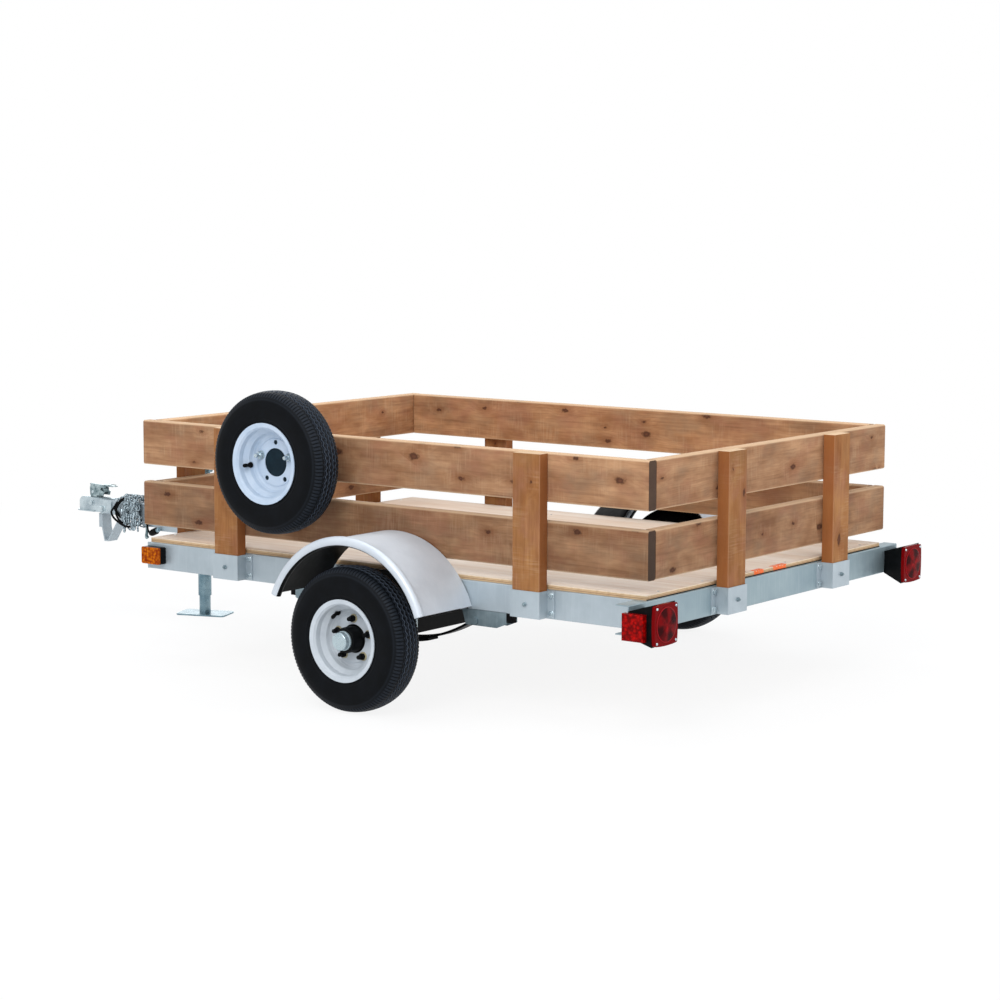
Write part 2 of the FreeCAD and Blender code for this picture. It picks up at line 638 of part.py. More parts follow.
def fender():
    """Round fender: rolled sheet with a hollow bead along its outer edge, on two brackets."""
    r = FENDER_RADIUS
    y0 = HALF_WIDTH + FENDER_INNER_GAP
    y_bead = HALF_WIDTH + FENDER_OUTREACH - FENDER_BEAD_RADIUS
    low, high = FENDER_FRONT_ANGLE, 180.0 - FENDER_REAR_ANGLE
    middle = Vector(AXLE_X, 0, AXLE_Z)

    def bead(radius):
        ring = Part.makeCircle(radius, Vector(AXLE_X + r - FENDER_BEAD_DROP, y_bead, AXLE_Z), UP)
        ring = Part.Face(Part.Wire(ring))
        ring.rotate(middle, Vector(0, 1, 0), -low)
        return ring.revolve(middle, Vector(0, 1, 0), low - high)

    meeting = sqrt(FENDER_BEAD_RADIUS ** 2 - FENDER_BEAD_DROP ** 2) - FENDER_SHEET / 2
    sheet = arc_sheet(r - FENDER_SHEET, r, y0, y_bead - meeting, low, high)
    tube = bead(FENDER_BEAD_RADIUS).cut(bead(FENDER_BEAD_RADIUS - FENDER_SHEET))
    pieces = [sheet, tube]
    for a0 in (low, high - FENDER_BRACKET_ANGLE):
        a1 = a0 + FENDER_BRACKET_ANGLE
        pieces.append(arc_sheet(r - FENDER_SHEET - 3.0, r - FENDER_SHEET, HALF_WIDTH, y0 + 50.0, a0, a1))
        pieces.append(arc_sheet(r - 42.0, r - FENDER_SHEET, HALF_WIDTH, HALF_WIDTH + 3.0, a0, a1))
    return fused(pieces)


def tongue_tube():
    """Square tube with rounded corners from the front rail to the coupler."""
    x1 = NOSE_X - COUPLER_LENGTH + COUPLER_LAP
    h = TONGUE_TUBE / 2
    outer = box(FRONT_X, x1, -h, h, TUBE_BOTTOM, TUBE_TOP)
    corners = [e for e in outer.Edges if abs(e.tangentAt(e.FirstParameter).x) > 0.99]
    outer = outer.makeFillet(TONGUE_CORNER, corners)
    h -= TONGUE_WALL
    inner = box(FRONT_X - 1, x1 + 1, -h, h, TUBE_BOTTOM + TONGUE_WALL, TUBE_TOP - TONGUE_WALL)
    return outer.cut(inner)


def tongue_channel():
    """Deep channel that holds the tube and runs under the deck to the first cross member."""
    half = channel_half_width()
    rear = cross_member_places()[1] + RAIL_WALL
    nose = NOSE_X - CHANNEL_SETBACK
    top = RAIL_TOP - CHANNEL_TOP_DROP
    cut = nose - CHANNEL_CUT_LENGTH

    def outline(z):
        return [(rear, z), (cut, z), (cut + 20.0, z + CHANNEL_CUT_RISE), (nose, z + CHANNEL_CUT_RISE),
                (nose, top + z - RAIL_BOTTOM), (rear, top + z - RAIL_BOTTOM)]

    inner = side_plate(outline(RAIL_BOTTOM + TONGUE_WALL), -TONGUE_TUBE / 2, TONGUE_TUBE / 2)
    return side_plate(outline(RAIL_BOTTOM), -half, half).cut(inner)


def cross_member_places():
    return [AXLE_X - CROSS_MEMBER_REACH, AXLE_X + CROSS_MEMBER_REACH]


def ball_centre():
    """Middle of the towing ball in its socket."""
    return Vector(NOSE_X - COUPLER_LIP - COUPLER_WIDTH / 2, 0, TUBE_TOP - BALL_DROP)


def round_nosed(half, x_back, low, high):
    """Upright-walled body with a half-round nose about the ball."""
    x_ball = ball_centre().x
    nose = Part.makeCylinder(half, high - low, Vector(x_ball, 0, low))
    return fused([nose, box(x_back, x_ball, -half, half, low, high)])


def coupler():
    """Pressed socket: a round-nosed shell, open below, with a lip and a dome over the ball."""
    half = COUPLER_WIDTH / 2
    z0, z1 = TUBE_TOP - COUPLER_DEPTH, TUBE_TOP + COUPLER_WALL
    x0 = NOSE_X - COUPLER_LENGTH
    wall = COUPLER_WALL

    def shell(inset, high, crown):
        body = round_nosed(half - inset, x0 - inset, z0 - inset, high)
        top = [e for e in body.Edges if e.BoundBox.ZMin > high - 0.1 and e.BoundBox.XMax > x0 + 1.0]
        return body.makeFillet(crown, top)

    dome = Part.makeSphere(BALL_DIAMETER / 2 + wall, ball_centre())
    dome = dome.common(box(x0, NOSE_X, -half, half, ball_centre().z, z1 + half))
    outer = fused([shell(0.0, z1, COUPLER_CROWN), dome])
    lip = round_nosed(half + COUPLER_LIP, NOSE_X - COUPLER_LIP_LENGTH, z0, z0 + wall)
    socket = Part.makeSphere(BALL_DIAMETER / 2 + 0.5, ball_centre())
    tube = box(x0 - 1, x0 + COUPLER_LAP, -TONGUE_TUBE / 2, TONGUE_TUBE / 2, TUBE_BOTTOM, TUBE_TOP)
    inner = shell(wall, z1 - wall, COUPLER_CROWN - wall)
    return fused([outer, lip]).cut([inner, socket, tube])


def coupler_latch():
    """Latch over the socket: a neck, a hollow block and the thumb lever with turned-down edges."""
    base = TUBE_TOP + COUPLER_WALL
    foot = base + LATCH_NECK
    x1 = NOSE_X - LATCH_SETBACK
    x0 = x1 - LATCH_LENGTH
    top = base + LATCH_HEIGHT
    half = LATCH_WIDTH / 2
    neck = box(x1 - LATCH_NECK_LENGTH, x1, -half, half, base, foot)
    cheek = [(x0 + 4, foot), (x1, foot), (x1 + 2, top - 12), (x1 - 4, top), (x0 + 10, top - 3),
             (x0 + 16, top - 18), (x0, top - 24)]
    hollow = box(x0 - 10, x1 - 8, 4 - half, half - 4, foot - 1, top - 9)
    block = side_plate(cheek, -half, half).cut(hollow)
    front, end = x1 - 5.0, x1 - LEVER_LENGTH
    high, low = top + LEVER_SHEET, top + LEVER_SHEET - LEVER_FALL
    lever = [(front, high), (end, low), (end, low - LEVER_SHEET), (front, top)]
    edge = [(front, high), (end, low), (end + 5, low - LEVER_EDGE), (front - 12, high - LEVER_EDGE)]
    outer = half + LEVER_SHEET
    edges = [side_plate(edge, side * half, side * outer) for side in (1, -1)]
    tip = LEVER_TIP / 2
    plan = [Vector(x, y, foot) for x, y in
            ((front, outer), (x0, outer), (end, tip), (end, -tip), (x0, -outer), (front, -outer))]
    tapered = Part.Face(Part.makePolygon(plan + plan[:1])).extrude(UP * LATCH_HEIGHT)
    return fused([neck, block, fused([side_plate(lever, -outer, outer)] + edges).common(tapered)])


def strap(points, thickness):
    """Outline of a flat bar bent along (x, z) points, its thickness laid to the right of the run."""
    ways = [Vector(b[0] - a[0], b[1] - a[1], 0).normalize() for a, b in zip(points, points[1:])]
    inner = []
    for (x, z), u, v in zip(points, ways[:1] + ways, ways + ways[-1:]):
        across = Vector(u.y + v.y, -u.x - v.x, 0).normalize()
        reach = thickness / across.dot(Vector(u.y, -u.x, 0))
        inner.append((x + across.x * reach, z + across.y * reach))
    return points + inner[::-1]


def tongue_stand():
    """V of flat bar under the tongue behind the coupler, with a pad before its front leg."""
    x = NOSE_X - STRAP_SETBACK
    z = TUBE_BOTTOM
    low = z - STRAP_DROP
    half = STRAP_WIDTH / 2
    route = [(x, z), (x - 3, z - 50), (x - 14, low), (x - 33, low), (x - STRAP_SPAN, z)]
    over = box(x - STRAP_SPAN - STRAP_WIDTH, x + STRAP_WIDTH, -half, half, z, z + STRAP_WIDTH)
    pad = box(x - STRAP_THICKNESS, x + STRAP_PAD, -half, half, z - STRAP_PAD_HEIGHT, z)
    return fused([side_plate(strap(route, STRAP_THICKNESS), -half, half).cut(over), pad])


def jack_place():
    """Foot of the jack's centre line, on the right-hand side of the tongue."""
    return Vector(NOSE_X - JACK_SETBACK, -channel_half_width() - JACK_STANDOFF, 0)


def bent_rod(points, radius, bends):
    """Round bar along straight runs joined by arcs, with a bend radius for each corner."""
    edges, start = [], points[0]
    for before, corner, after, bend in zip(points, points[1:], points[2:], bends):
        u = (before - corner).normalize()
        v = (after - corner).normalize()
        half = u.getAngle(v) / 2
        step = bend / tan(half)
        a, b = corner + u * step, corner + v * step
        middle = corner + (u + v).normalize() * (bend / sin(half) - bend)
        edges.append(Part.makeLine(start, a))
        edges.append(Part.Arc(a, middle, b).toShape())
        start = b
    edges.append(Part.makeLine(start, points[-1]))
    disc = Part.Wire(Part.makeCircle(radius, points[0], points[1] - points[0]))
    return Part.Wire(edges).makePipeShell([disc], True, False)


def jack_tube():
    """Fixed outer tube with its cap, crank and the bracket on the tongue channel."""
    spot = jack_place()
    low = spot + UP * JACK_TUBE_BOTTOM
    high = low + UP * JACK_TUBE_LENGTH
    r = JACK_TUBE / 2
    tube = rod(low, high, r)
    cap = rod(high - UP * 2.0, high + UP * 14.0, r + 3.0)
    hub = high - UP * 26.0
    side = Vector(0, -1, 0)
    elbow = hub + side * (r + 22.0)
    wrist = elbow + Vector(JACK_CRANK, 0, 0)
    crank = bent_rod([hub, elbow, wrist, wrist + side * JACK_HANDLE], 6.0, [12.0, 12.0])
    grip = rod(wrist + side * (JACK_HANDLE + 2.0 - JACK_GRIP), wrist + side * (JACK_HANDLE + 2.0), 11.0)
    face = -channel_half_width()
    z0, z1 = RAIL_BOTTOM + 4.0, RAIL_TOP - CHANNEL_TOP_DROP - 4.0
    half, outer = JACK_PLATE_LENGTH / 2, face - JACK_PLATE_THICKNESS
    plate = box(spot.x - half, spot.x + half, face, outer, z0, z1)
    neck = rod(Vector(spot.x, outer + 1.0, (z0 + z1) / 2), Vector(spot.x, spot.y, (z0 + z1) / 2), r + 3.0)
    collar = rod(spot + UP * z0, spot + UP * z1, r + 6.0)
    bore = rod(low - UP, high - UP * 8.0, r - JACK_WALL)
    return fused([tube, cap, crank, grip, plate, neck, collar]).cut(bore)


def jack_leg():
    """Sliding inner tube with its foot plate on the ground."""
    spot = jack_place()
    inner = JACK_TUBE / 2 - JACK_WALL - BEARING_CLEARANCE
    leg = rod(spot, spot + UP * JACK_LEG_LENGTH, inner)
    plate = Part.makeBox(FOOT_LENGTH, FOOT_WIDTH, FOOT_THICKNESS, Vector(-FOOT_LENGTH / 2, -FOOT_WIDTH / 2, 0))
    corners = [e for e in plate.Edges if abs(e.tangentAt(e.FirstParameter).z) > 0.99]
    plate = plate.makeFillet(FOOT_CORNER, corners)
    plate.Placement = Placement(spot, Rotation(UP, FOOT_TURN))
    return fused([leg, plate])


def coil(turn):
    """Point of the chain's run round the tongue: a rounded square that steps backwards with each turn.

    It lies further forwards on the left, rests on the tube's upper corners and hangs slack below.
    """
    angle = 2 * pi * turn
    y, z = cos(angle), sin(angle)
    power = CHAIN_SQUARENESS
    reach = (TONGUE_TUBE / 2 + CHAIN_STANDOFF) / (abs(y) ** power + abs(z) ** power) ** (1 / power)
    sag = CHAIN_SAG * (1 + CHAIN_UNEVENNESS * sin(2 * turn)) * min(z, 0.0) ** 2
    x = NOSE_X - CHAIN_SETBACK - CHAIN_STEP * turn + CHAIN_LEAN * y
    return Vector(x, reach * y, (TUBE_BOTTOM + TUBE_TOP) / 2 + reach * z - sag)


def chain_hooks():
    """Places along the coil where one link hooks into the next."""
    hooks, turn = [coil(0.0)], 0.0
    while turn < CHAIN_TURNS:
        turn += 0.0005
        spot = coil(turn)
        if spot.distanceToPoint(hooks[-1]) >= CHAIN_PITCH - CHAIN_SLACK:
            hooks.append(spot)
    return hooks


def chain_link():
    """One link along X, flat in the XY plane: six-sided wire mitred round two half-round ends."""
    bow = (CHAIN_WIDTH - CHAIN_WIRE) / 2
    straight = (CHAIN_PITCH + CHAIN_WIRE) / 2 - bow
    end = bow / cos(pi / 6)
    bends = [pi / 6 * k for k in (-3, -1, 1, 3)]
    loop = [Vector(side * (straight + end * cos(a)), side * bow * sin(a), 0) for side in (1, -1) for a in bends]
    rings = []
    for before, corner, after in zip(loop[-1:] + loop[:-1], loop, loop[1:] + loop[:1]):
        u, v = (corner - before).normalize(), (after - corner).normalize()
        across = (u + v).cross(UP).normalize()
        mitre = 1 / u.cross(UP).dot(across)
        section = [2 * pi * (k + 0.5) / CHAIN_WIRE_SIDES for k in range(CHAIN_WIRE_SIDES)]
        rings.append([corner + across * (mitre * CHAIN_WIRE / 2 * cos(a)) + UP * (CHAIN_WIRE / 2 * sin(a))
                      for a in section])
    faces = []
    for ring, onward in zip(rings, rings[1:] + rings[:1]):
        for k in range(len(ring)):
            quad = [ring[k - 1], ring[k], onward[k], onward[k - 1]]
            faces.append(Part.Face(Part.makePolygon(quad + quad[:1])))
    link = Part.Solid(Part.Shell(faces))
    return link if link.Volume > 0 else link.reversed()


def safety_chain():
    """Chain wound round the tongue behind the coupler for storage, each link a quarter turn from the last."""
    hooks = chain_hooks()
    link, links = chain_link(), []
    for i, (a, b) in enumerate(zip(hooks, hooks[1:])):
        middle, along = (a + b) / 2, (b - a).normalize()
        outward = Vector(0, middle.y, middle.z - (TUBE_BOTTOM + TUBE_TOP) / 2)
        side = along.cross(outward).normalize()
        lay = Rotation(along, side, along.cross(side), "XYZ")
        roll = Rotation(Vector(1, 0, 0), 45 if i % 2 else -45)
        laid = link.copy()
        laid.Placement = Placement(middle, lay.multiply(roll))
        links.append(laid)
    return links


def wiring_cable():
    """Lamp cable: one turn round the tongue in front of the chain, pulled forwards on the left.

    Its two ends lie side by side on the right.
    """
    radius = CABLE_DIAMETER / 2
    out = TONGUE_TUBE / 2 + WRAP_CLEARANCE + radius
    middle = Vector(NOSE_X - CABLE_SETBACK, 0, (TUBE_BOTTOM + TUBE_TOP) / 2)
    lean, beside = CABLE_LEAN, CABLE_DIAMETER + 1.0 - CABLE_LEAN
    route = [(beside, -out, CABLE_LAP), (beside, -out, -out), (lean / 2, out, -out), (CABLE_VERTEX, out, 0),
             (lean, out, out), (-lean, -out, out), (-lean, -out, -CABLE_LAP)]
    corner = radius * 1.2
    return bent_rod([middle + Vector(*place) for place in route], radius,
                    [corner, corner, CABLE_BEND, corner, corner])


def lamp_spans():
    """Inboard and outboard faces, bottom and top of the left tail lamp."""
    y0 = HALF_WIDTH - LAMP_INBOARD
    z1 = RAIL_TOP + LAMP_RISE
    return y0, y0 + LAMP_WIDTH, z1 - LAMP_HEIGHT, z1


def tail_lamp_housing():
    """Housing behind the square lens, drawn in above, below and inboard towards the rail."""
    y0, y1, z0, z1 = lamp_spans()
    ends = []
    for x, side, taper in ((REAR_X - LAMP_DEPTH, 0.0, 0.0), (REAR_X, LAMP_SIDE_TAPER, LAMP_TAPER)):
        corners = [(y0 + side, z0 + taper), (y1, z0 + taper), (y1, z1 - taper), (y0 + side, z1 - taper)]
        loop = [Vector(x, y, z) for y, z in corners]
        ends.append(Part.makePolygon(loop + loop[:1]))
    return Part.makeLoft(ends, True, True)


def tail_lamp_lens():
    """Square lens with slightly bowed sides and a low round dome on its face."""
    y0, y1, z0, z1 = lamp_spans()
    yc, zc = (y0 + y1) / 2, (z0 + z1) / 2
    x = REAR_X - LAMP_DEPTH
    b = LENS_BOW
    loop = [(y0 + b, z0 + b), (yc, z0), (y1 - b, z0 + b), (y1, zc), (y1 - b, z1 - b), (yc, z1),
            (y0 + b, z1 - b), (y0, zc), (y0 + b, z0 + b)]
    spots = [Vector(x, y, z) for y, z in loop]
    sides = [Part.Arc(*spots[i:i + 3]).toShape() for i in (0, 2, 4, 6)]
    plate = Part.Face(Part.Wire(sides)).extrude(Vector(-LENS_THICKNESS, 0, 0))
    corners = [e for e in plate.Edges if abs(e.tangentAt(e.FirstParameter).x) > 0.99]
    plate = plate.makeFillet(LENS_CORNER, corners)
    face, r = x - LENS_THICKNESS, LENS_DISC_DIAMETER / 2
    tip = Vector(face - LENS_DOME, yc, zc)
    foot, rim_spot = Vector(face, yc, zc), Vector(face - LENS_STEP, yc + r, zc)
    bend = ((LENS_DOME - LENS_STEP) ** 2 + r ** 2) / (2 * (LENS_DOME - LENS_STEP))
    halfway = asin(r / bend) / 2
    crest = tip + Vector(bend - bend * cos(halfway), bend * sin(halfway), 0)
    edges = [Part.makeLine(foot, Vector(face, yc + r, zc)), Part.makeLine(Vector(face, yc + r, zc), rim_spot),
             Part.Arc(rim_spot, crest, tip).toShape(), Part.makeLine(tip, foot)]
    dome = Part.Face(Part.Wire(edges)).revolve(foot, Vector(1, 0, 0), 360)
    return fused([plate, dome])


def side_marker_lens():
    """Marker lens on the lamp's outboard side."""
    y0, y1, z0, z1 = lamp_spans()
    x1 = REAR_X + MARKER_LAP
    zc = (z0 + z1) / 2 - MARKER_DROP
    block = box(x1 - MARKER_LENGTH, x1, y1, y1 + MARKER_REACH, zc - MARKER_HEIGHT / 2, zc + MARKER_HEIGHT / 2)
    uprights = [e for e in block.Edges if e.BoundBox.YMin > y1 + MARKER_REACH - 0.1]
    return block.makeFillet(5.0, uprights)


def amber_lamp(depth0, depth1):
    """Front marker lamp on the side rail: base or lens, by its depth from the rail."""
    x1 = FRONT_X - AMBER_INSET
    z = (RAIL_BOTTOM + RAIL_TOP) / 2 + AMBER_RISE
    block = box(x1 - AMBER_LENGTH, x1, HALF_WIDTH + depth0, HALF_WIDTH + depth1,
                z - AMBER_HEIGHT / 2, z + AMBER_HEIGHT / 2)
    rounded = [e for e in block.Edges if abs(e.tangentAt(e.FirstParameter).y) > 0.99]
    return block.makeFillet(5.0, rounded)


def spare_centre():
    return Vector(REAR_X + SPARE_FROM_REAR, HALF_WIDTH + SPARE_OUTREACH, RAIL_TOP + SPARE_RISE)


def spare_carrier():
    """Hat-shaped bar from the boards out to the spare wheel's disc, with two studs."""
    centre = spare_centre()
    half = CARRIER_SPAN / 2
    y0 = HALF_WIDTH
    y1 = centre.y - RIM_WALL / 2
    t = CARRIER_BAR
    z0 = UPPER_BOARD + BOARD_HEIGHT / 2 - CARRIER_WIDTH / 2
    loop = [(-half - 40, y0), (-half, y0), (-half, y1 - t), (half, y1 - t), (half, y0), (half + 40, y0),
            (half + 40, y0 + t), (half + t, y0 + t), (half + t, y1), (-half - t, y1), (-half - t, y0 + t),
            (-half - 40, y0 + t)]
    points = [Vector(centre.x + x, y, z0) for x, y in loop]
    bar = Part.Face(Part.makePolygon(points + points[:1])).extrude(UP * CARRIER_WIDTH)
    axis = Vector(0, 1, 0)
    pieces = [bar]
    for spot in spare_bolts():
        spot = Vector(spot.x, y1 - t, spot.z)
        pieces.append(rod(spot, spot + axis * (t + 26.0), 6.0))
        pieces.append(hex_nut(Vector(spot.x, y1 + RIM_WALL, spot.z), axis, 19.0, 11.0))
    return fused(pieces)


def spare_bolts():
    """The two wheel holes beside the top one, which lie over the carrier."""
    spots = bolt_spots(spare_centre())
    return [spots[1], spots[-1]]


def main():
    os.makedirs("parts", exist_ok=True)
    save("side_rail_left", side_rail())
    save("side_rail_right", mirrored(side_rail()))
    save("front_rail", front_rail())
    save("rear_rail", rear_rail())
    save("cross_members", [cross_member(x) for x in cross_member_places()])
    save("deck", deck())
    for node, pair in boards().items():
        save(node, pair)
    places = stake_places()
    for side in ("left", "right", "front", "rear"):
        save("stakes_" + side, [stake(point, out) for name, point, out in places if name == side])
    bottom = RAIL_BOTTOM + POCKET_INSET
    save("stake_pockets", [seated(pocket(), point, out, bottom) for name, point, out in places])
    save("axle_beam", axle_beam())
    save("leaf_springs", both_sides(leaf_spring()))
    hangers = [spring_hanger(x, z, step) for (x, z), step in zip(spring_ends(), (1, -1))]
    save("spring_hangers", hangers + [mirrored(h) for h in hangers])
    blocks = [stop_block(x, step) for (x, z), step in zip(spring_ends(), (1, -1))]
    save("stop_blocks", blocks + [mirrored(b) for b in blocks])
    save("spring_clamps", both_sides(spring_clamp()))
    save("fender_left", fender())
    save("fender_right", mirrored(fender()))
    save("tongue_tube", tongue_tube())
    save("tongue_channel", tongue_channel())
    save("coupler", coupler())
    save("coupler_latch", coupler_latch())
    save("tongue_stand", tongue_stand())
    save("jack_tube", jack_tube())
    save("jack_leg", jack_leg())
    save("tail_lamp_housings", both_sides(tail_lamp_housing()))
    save("tail_lamp_lenses", both_sides(tail_lamp_lens()))
    save("side_marker_lenses", both_sides(side_marker_lens()))
    save("safety_chain", safety_chain())
    save("wiring_cable", wiring_cable())
    save("front_marker_bases", both_sides(amber_lamp(0.0, AMBER_BASE)))
    save("front_marker_lenses", both_sides(amber_lamp(AMBER_BASE, AMBER_DEPTH)))
    save("spare_carrier", spare_carrier())
    save("spare_tyre", tyre(spare_centre()))
    save("spare_rim", rim(spare_centre(), 1))
    for side, sign in (("left", 1), ("right", -1)):
        centre = Vector(AXLE_X, sign * WHEEL_Y, AXLE_Z)
        save("tyre_" + side, tyre(centre))
        save("rim_" + side, rim(centre, sign))
        save("hub_" + side, hub(centre, sign))


main()
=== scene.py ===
"""Looks of an open single-axle utility trailer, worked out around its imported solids.

Every shape is a grid of points, a function of two parameters, and stands in metres in the trailer's own
frame: X forwards to the coupler, Y to the trailer's left, Z up from the ground.
"""
import json

import bmesh
import bpy
import numpy as np
from mathutils import Matrix, Vector


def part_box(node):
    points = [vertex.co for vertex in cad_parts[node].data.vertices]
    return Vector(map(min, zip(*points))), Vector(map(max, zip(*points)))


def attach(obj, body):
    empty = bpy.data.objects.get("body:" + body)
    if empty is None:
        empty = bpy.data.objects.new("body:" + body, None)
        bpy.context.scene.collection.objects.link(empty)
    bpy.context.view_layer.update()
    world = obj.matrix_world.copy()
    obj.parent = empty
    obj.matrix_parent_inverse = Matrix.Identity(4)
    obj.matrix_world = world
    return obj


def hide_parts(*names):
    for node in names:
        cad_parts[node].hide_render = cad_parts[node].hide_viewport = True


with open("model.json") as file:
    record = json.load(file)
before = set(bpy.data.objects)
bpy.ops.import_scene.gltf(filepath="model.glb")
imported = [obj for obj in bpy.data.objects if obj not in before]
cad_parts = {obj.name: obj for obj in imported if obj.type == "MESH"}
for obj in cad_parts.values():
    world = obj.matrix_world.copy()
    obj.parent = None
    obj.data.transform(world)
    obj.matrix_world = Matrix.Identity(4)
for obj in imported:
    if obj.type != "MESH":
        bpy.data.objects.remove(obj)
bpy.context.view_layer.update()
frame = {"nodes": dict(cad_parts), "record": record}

MM = 0.001
rng = np.random.default_rng(20)


def span(node):
    """Lowest and highest corner of a CAD node as two arrays."""
    low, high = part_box(node)
    return np.array(low), np.array(high)


def middle(node):
    """Middle of a CAD node's box."""
    low, high = span(node)
    return (low + high) / 2


def solids_of(node):
    """Boxes of the separate solids in a CAD node: its triangles grouped by the corners that they share."""
    data = frame["nodes"][node].data
    co = np.zeros(len(data.vertices) * 3)
    data.vertices.foreach_get("co", co)
    co = co.reshape(-1, 3)
    corners = np.zeros(len(data.loops), np.int64)
    data.loops.foreach_get("vertex_index", corners)
    same = 0.01 * MM
    owner = np.unique(np.round(co / same).astype(np.int64), axis=0, return_inverse=True)[1].reshape(-1)
    links = owner[corners].reshape(-1, 3)
    group, settled = np.arange(owner.max() + 1), False
    while not settled:
        before = group.copy()
        np.minimum.at(group, links, group[links].min(1)[:, None])
        group = group[group]
        settled = (group == before).all()
    label = group[owner]
    boxes = [(co[label == g].min(0), co[label == g].max(0)) for g in np.unique(label)]
    return sorted(boxes, key=lambda box: tuple(np.round(box[0], 4)))


# Places read from the solids

REAR_X = span("rear_rail")[0][0]
FRONT_X = span("front_rail")[1][0]
_, HALF_WIDTH, RAIL_TOP = span("side_rail_left")[1]
NOSE_X = span("coupler")[1][0]
BOARDS_MIDDLE_Z = middle("boards_left")[2]
LEFT_LENS = max(solids_of("tail_lamp_lenses"), key=lambda box: box[0][1])
LENS_MIDDLE = sum(LEFT_LENS) / 2


# Colours and nodes

def linear(colour):
    """sRGB hex such as "a1b2c3" to linear red, green, blue, alpha."""
    srgb = np.array([int(colour[i:i + 2], 16) for i in (0, 2, 4)]) / 255
    value = np.where(srgb <= 0.04045, srgb / 12.92, ((srgb + 0.055) / 1.055) ** 2.4)
    return (*value, 1.0)


def add(tree, kind, sockets=None, output=0, stops=None, **settings):
    """Add a shader node and give back one of its outputs.

    sockets maps an input's name or number to a number, a hex colour or the output that feeds it, stops are a
    ramp's (position, hex) pairs, and settings are the node's own properties.
    """
    node = tree.nodes.new("ShaderNode" + kind)
    for key, value in settings.items():
        setattr(node, key, value)
    for key, value in (sockets or {}).items():
        if isinstance(value, bpy.types.NodeSocket):
            tree.links.new(value, node.inputs[key])
        else:
            node.inputs[key].default_value = linear(value) if isinstance(value, str) else value
    if stops:
        ends = node.color_ramp.elements
        ends[0].position, ends[1].position = stops[0][0], stops[-1][0]
        for position, _ in stops[1:-1]:
            ends.new(position)
        for end, (_, colour) in zip(ends, stops):
            end.color = linear(colour)
    return None if output is None else node.outputs[output]


def mottle(tree, where, size_mm, low, high, stretch=(1, 1, 1), shift=0.0, detail=3.0):
    """Uneven patches from 0 to 1: noise with a grain of size_mm, drawn out by stretch, cut at two levels."""
    scale = tuple(1 / (size_mm * MM * s) for s in stretch)
    place = add(tree, "Mapping", {"Vector": where, "Location": (shift,) * 3, "Scale": scale})
    wave = add(tree, "TexNoise", {"Vector": place, "Scale": 1.0, "Detail": detail, "Roughness": 0.58})
    return add(tree, "MapRange", {"Value": wave, "From Min": low, "From Max": high})


def layered(tree, base, *layers):
    """A colour with others laid over it in turn, each by a share and a strength."""
    for share, strength, colour in layers:
        part = add(tree, "Math", {0: share, 1: strength}, operation="MULTIPLY")
        base = add(tree, "Mix", {0: part, 6: base, 7: colour}, 2, data_type="RGBA")
    return base


def summed(tree, start, *parts):
    """A number plus other values, each times its weight."""
    for value, weight in parts:
        start = add(tree, "Math", {0: value, 1: weight, 2: start}, operation="MULTIPLY_ADD")
    return start


def material(name, **sockets):
    """New material: itself, its tree, its shader and the object's own coordinates."""
    made = bpy.data.materials.new(name)
    made.use_nodes = True
    tree = made.node_tree
    shader = tree.nodes["Principled BSDF"]
    for key, value in sockets.items():
        shader.inputs[key.replace("_", " ")].default_value = value
    return made, tree, shader, add(tree, "TexCoord", output="Object")


def dress(tree, shader, colour, roughness, height, depth_mm, strength):
    """Feed a shader its colour, its roughness where that varies, and a bump of a depth in millimetres."""
    tree.links.new(colour, shader.inputs["Base Color"])
    if roughness is not None:
        tree.links.new(roughness, shader.inputs["Roughness"])
    relief = add(tree, "Bump", {"Height": height, "Distance": depth_mm * MM, "Strength": strength})
    tree.links.new(relief, shader.inputs["Normal"])


def facing(tree, axis, least):
    """1 where a face is turned along an axis by more than a share of 1, to either side of it."""
    normal = add(tree, "NewGeometry", output="Normal")
    along = add(tree, "SeparateXYZ", {"Vector": normal}, axis)
    share = add(tree, "Math", {0: along}, operation="ABSOLUTE")
    return add(tree, "Math", {0: share, 1: least}, operation="GREATER_THAN")


# Materials

def galvanised_steel(name, light, dark, metallic=0.6):
    """Hot-dip galvanised mild steel: a dull satin zinc skin, each frozen crystal a shade off the next."""
    made, tree, shader, where = material(name, Metallic=metallic)
    crystal_mm = 12
    cells = add(tree, "Mapping", {"Vector": where, "Scale": (1 / (crystal_mm * MM),) * 3})
    crystal = add(tree, "TexVoronoi", {"Vector": cells, "Scale": 1.0}, "Color")
    shade = add(tree, "SeparateColor", {"Color": crystal})
    cloud = mottle(tree, where, 110, 0.25, 0.75)
    drips = mottle(tree, where, 7, 0.5, 0.85, stretch=(1, 1, 14))
    tone = summed(tree, 0.1, (shade, 0.12), (cloud, 0.7))
    body = layered(tree, dark, (tone, 1.0, light), (drips, 0.12, "dbe2e4"))
    dress(tree, shader, body, summed(tree, 0.36, (shade, 0.06), (cloud, 0.12)),
          summed(tree, 0.0, (shade, 0.4), (cloud, 1.0)), 0.2, 0.2)
    return made, tree, shader, where, body


def paint_black_shade(tree, shader, body, share):
    """Lay matt near-black over a metal where share is 1, as painted shade."""
    metallic = shader.inputs["Metallic"].default_value
    tree.links.new(layered(tree, body, (share, 1.0, "0b0c0d")), shader.inputs["Base Color"])
    bare = add(tree, "Math", {0: share, 1: -metallic, 2: metallic}, operation="MULTIPLY_ADD")
    tree.links.new(bare, shader.inputs["Metallic"])
    shader.inputs["Specular IOR Level"].default_value = 0.1


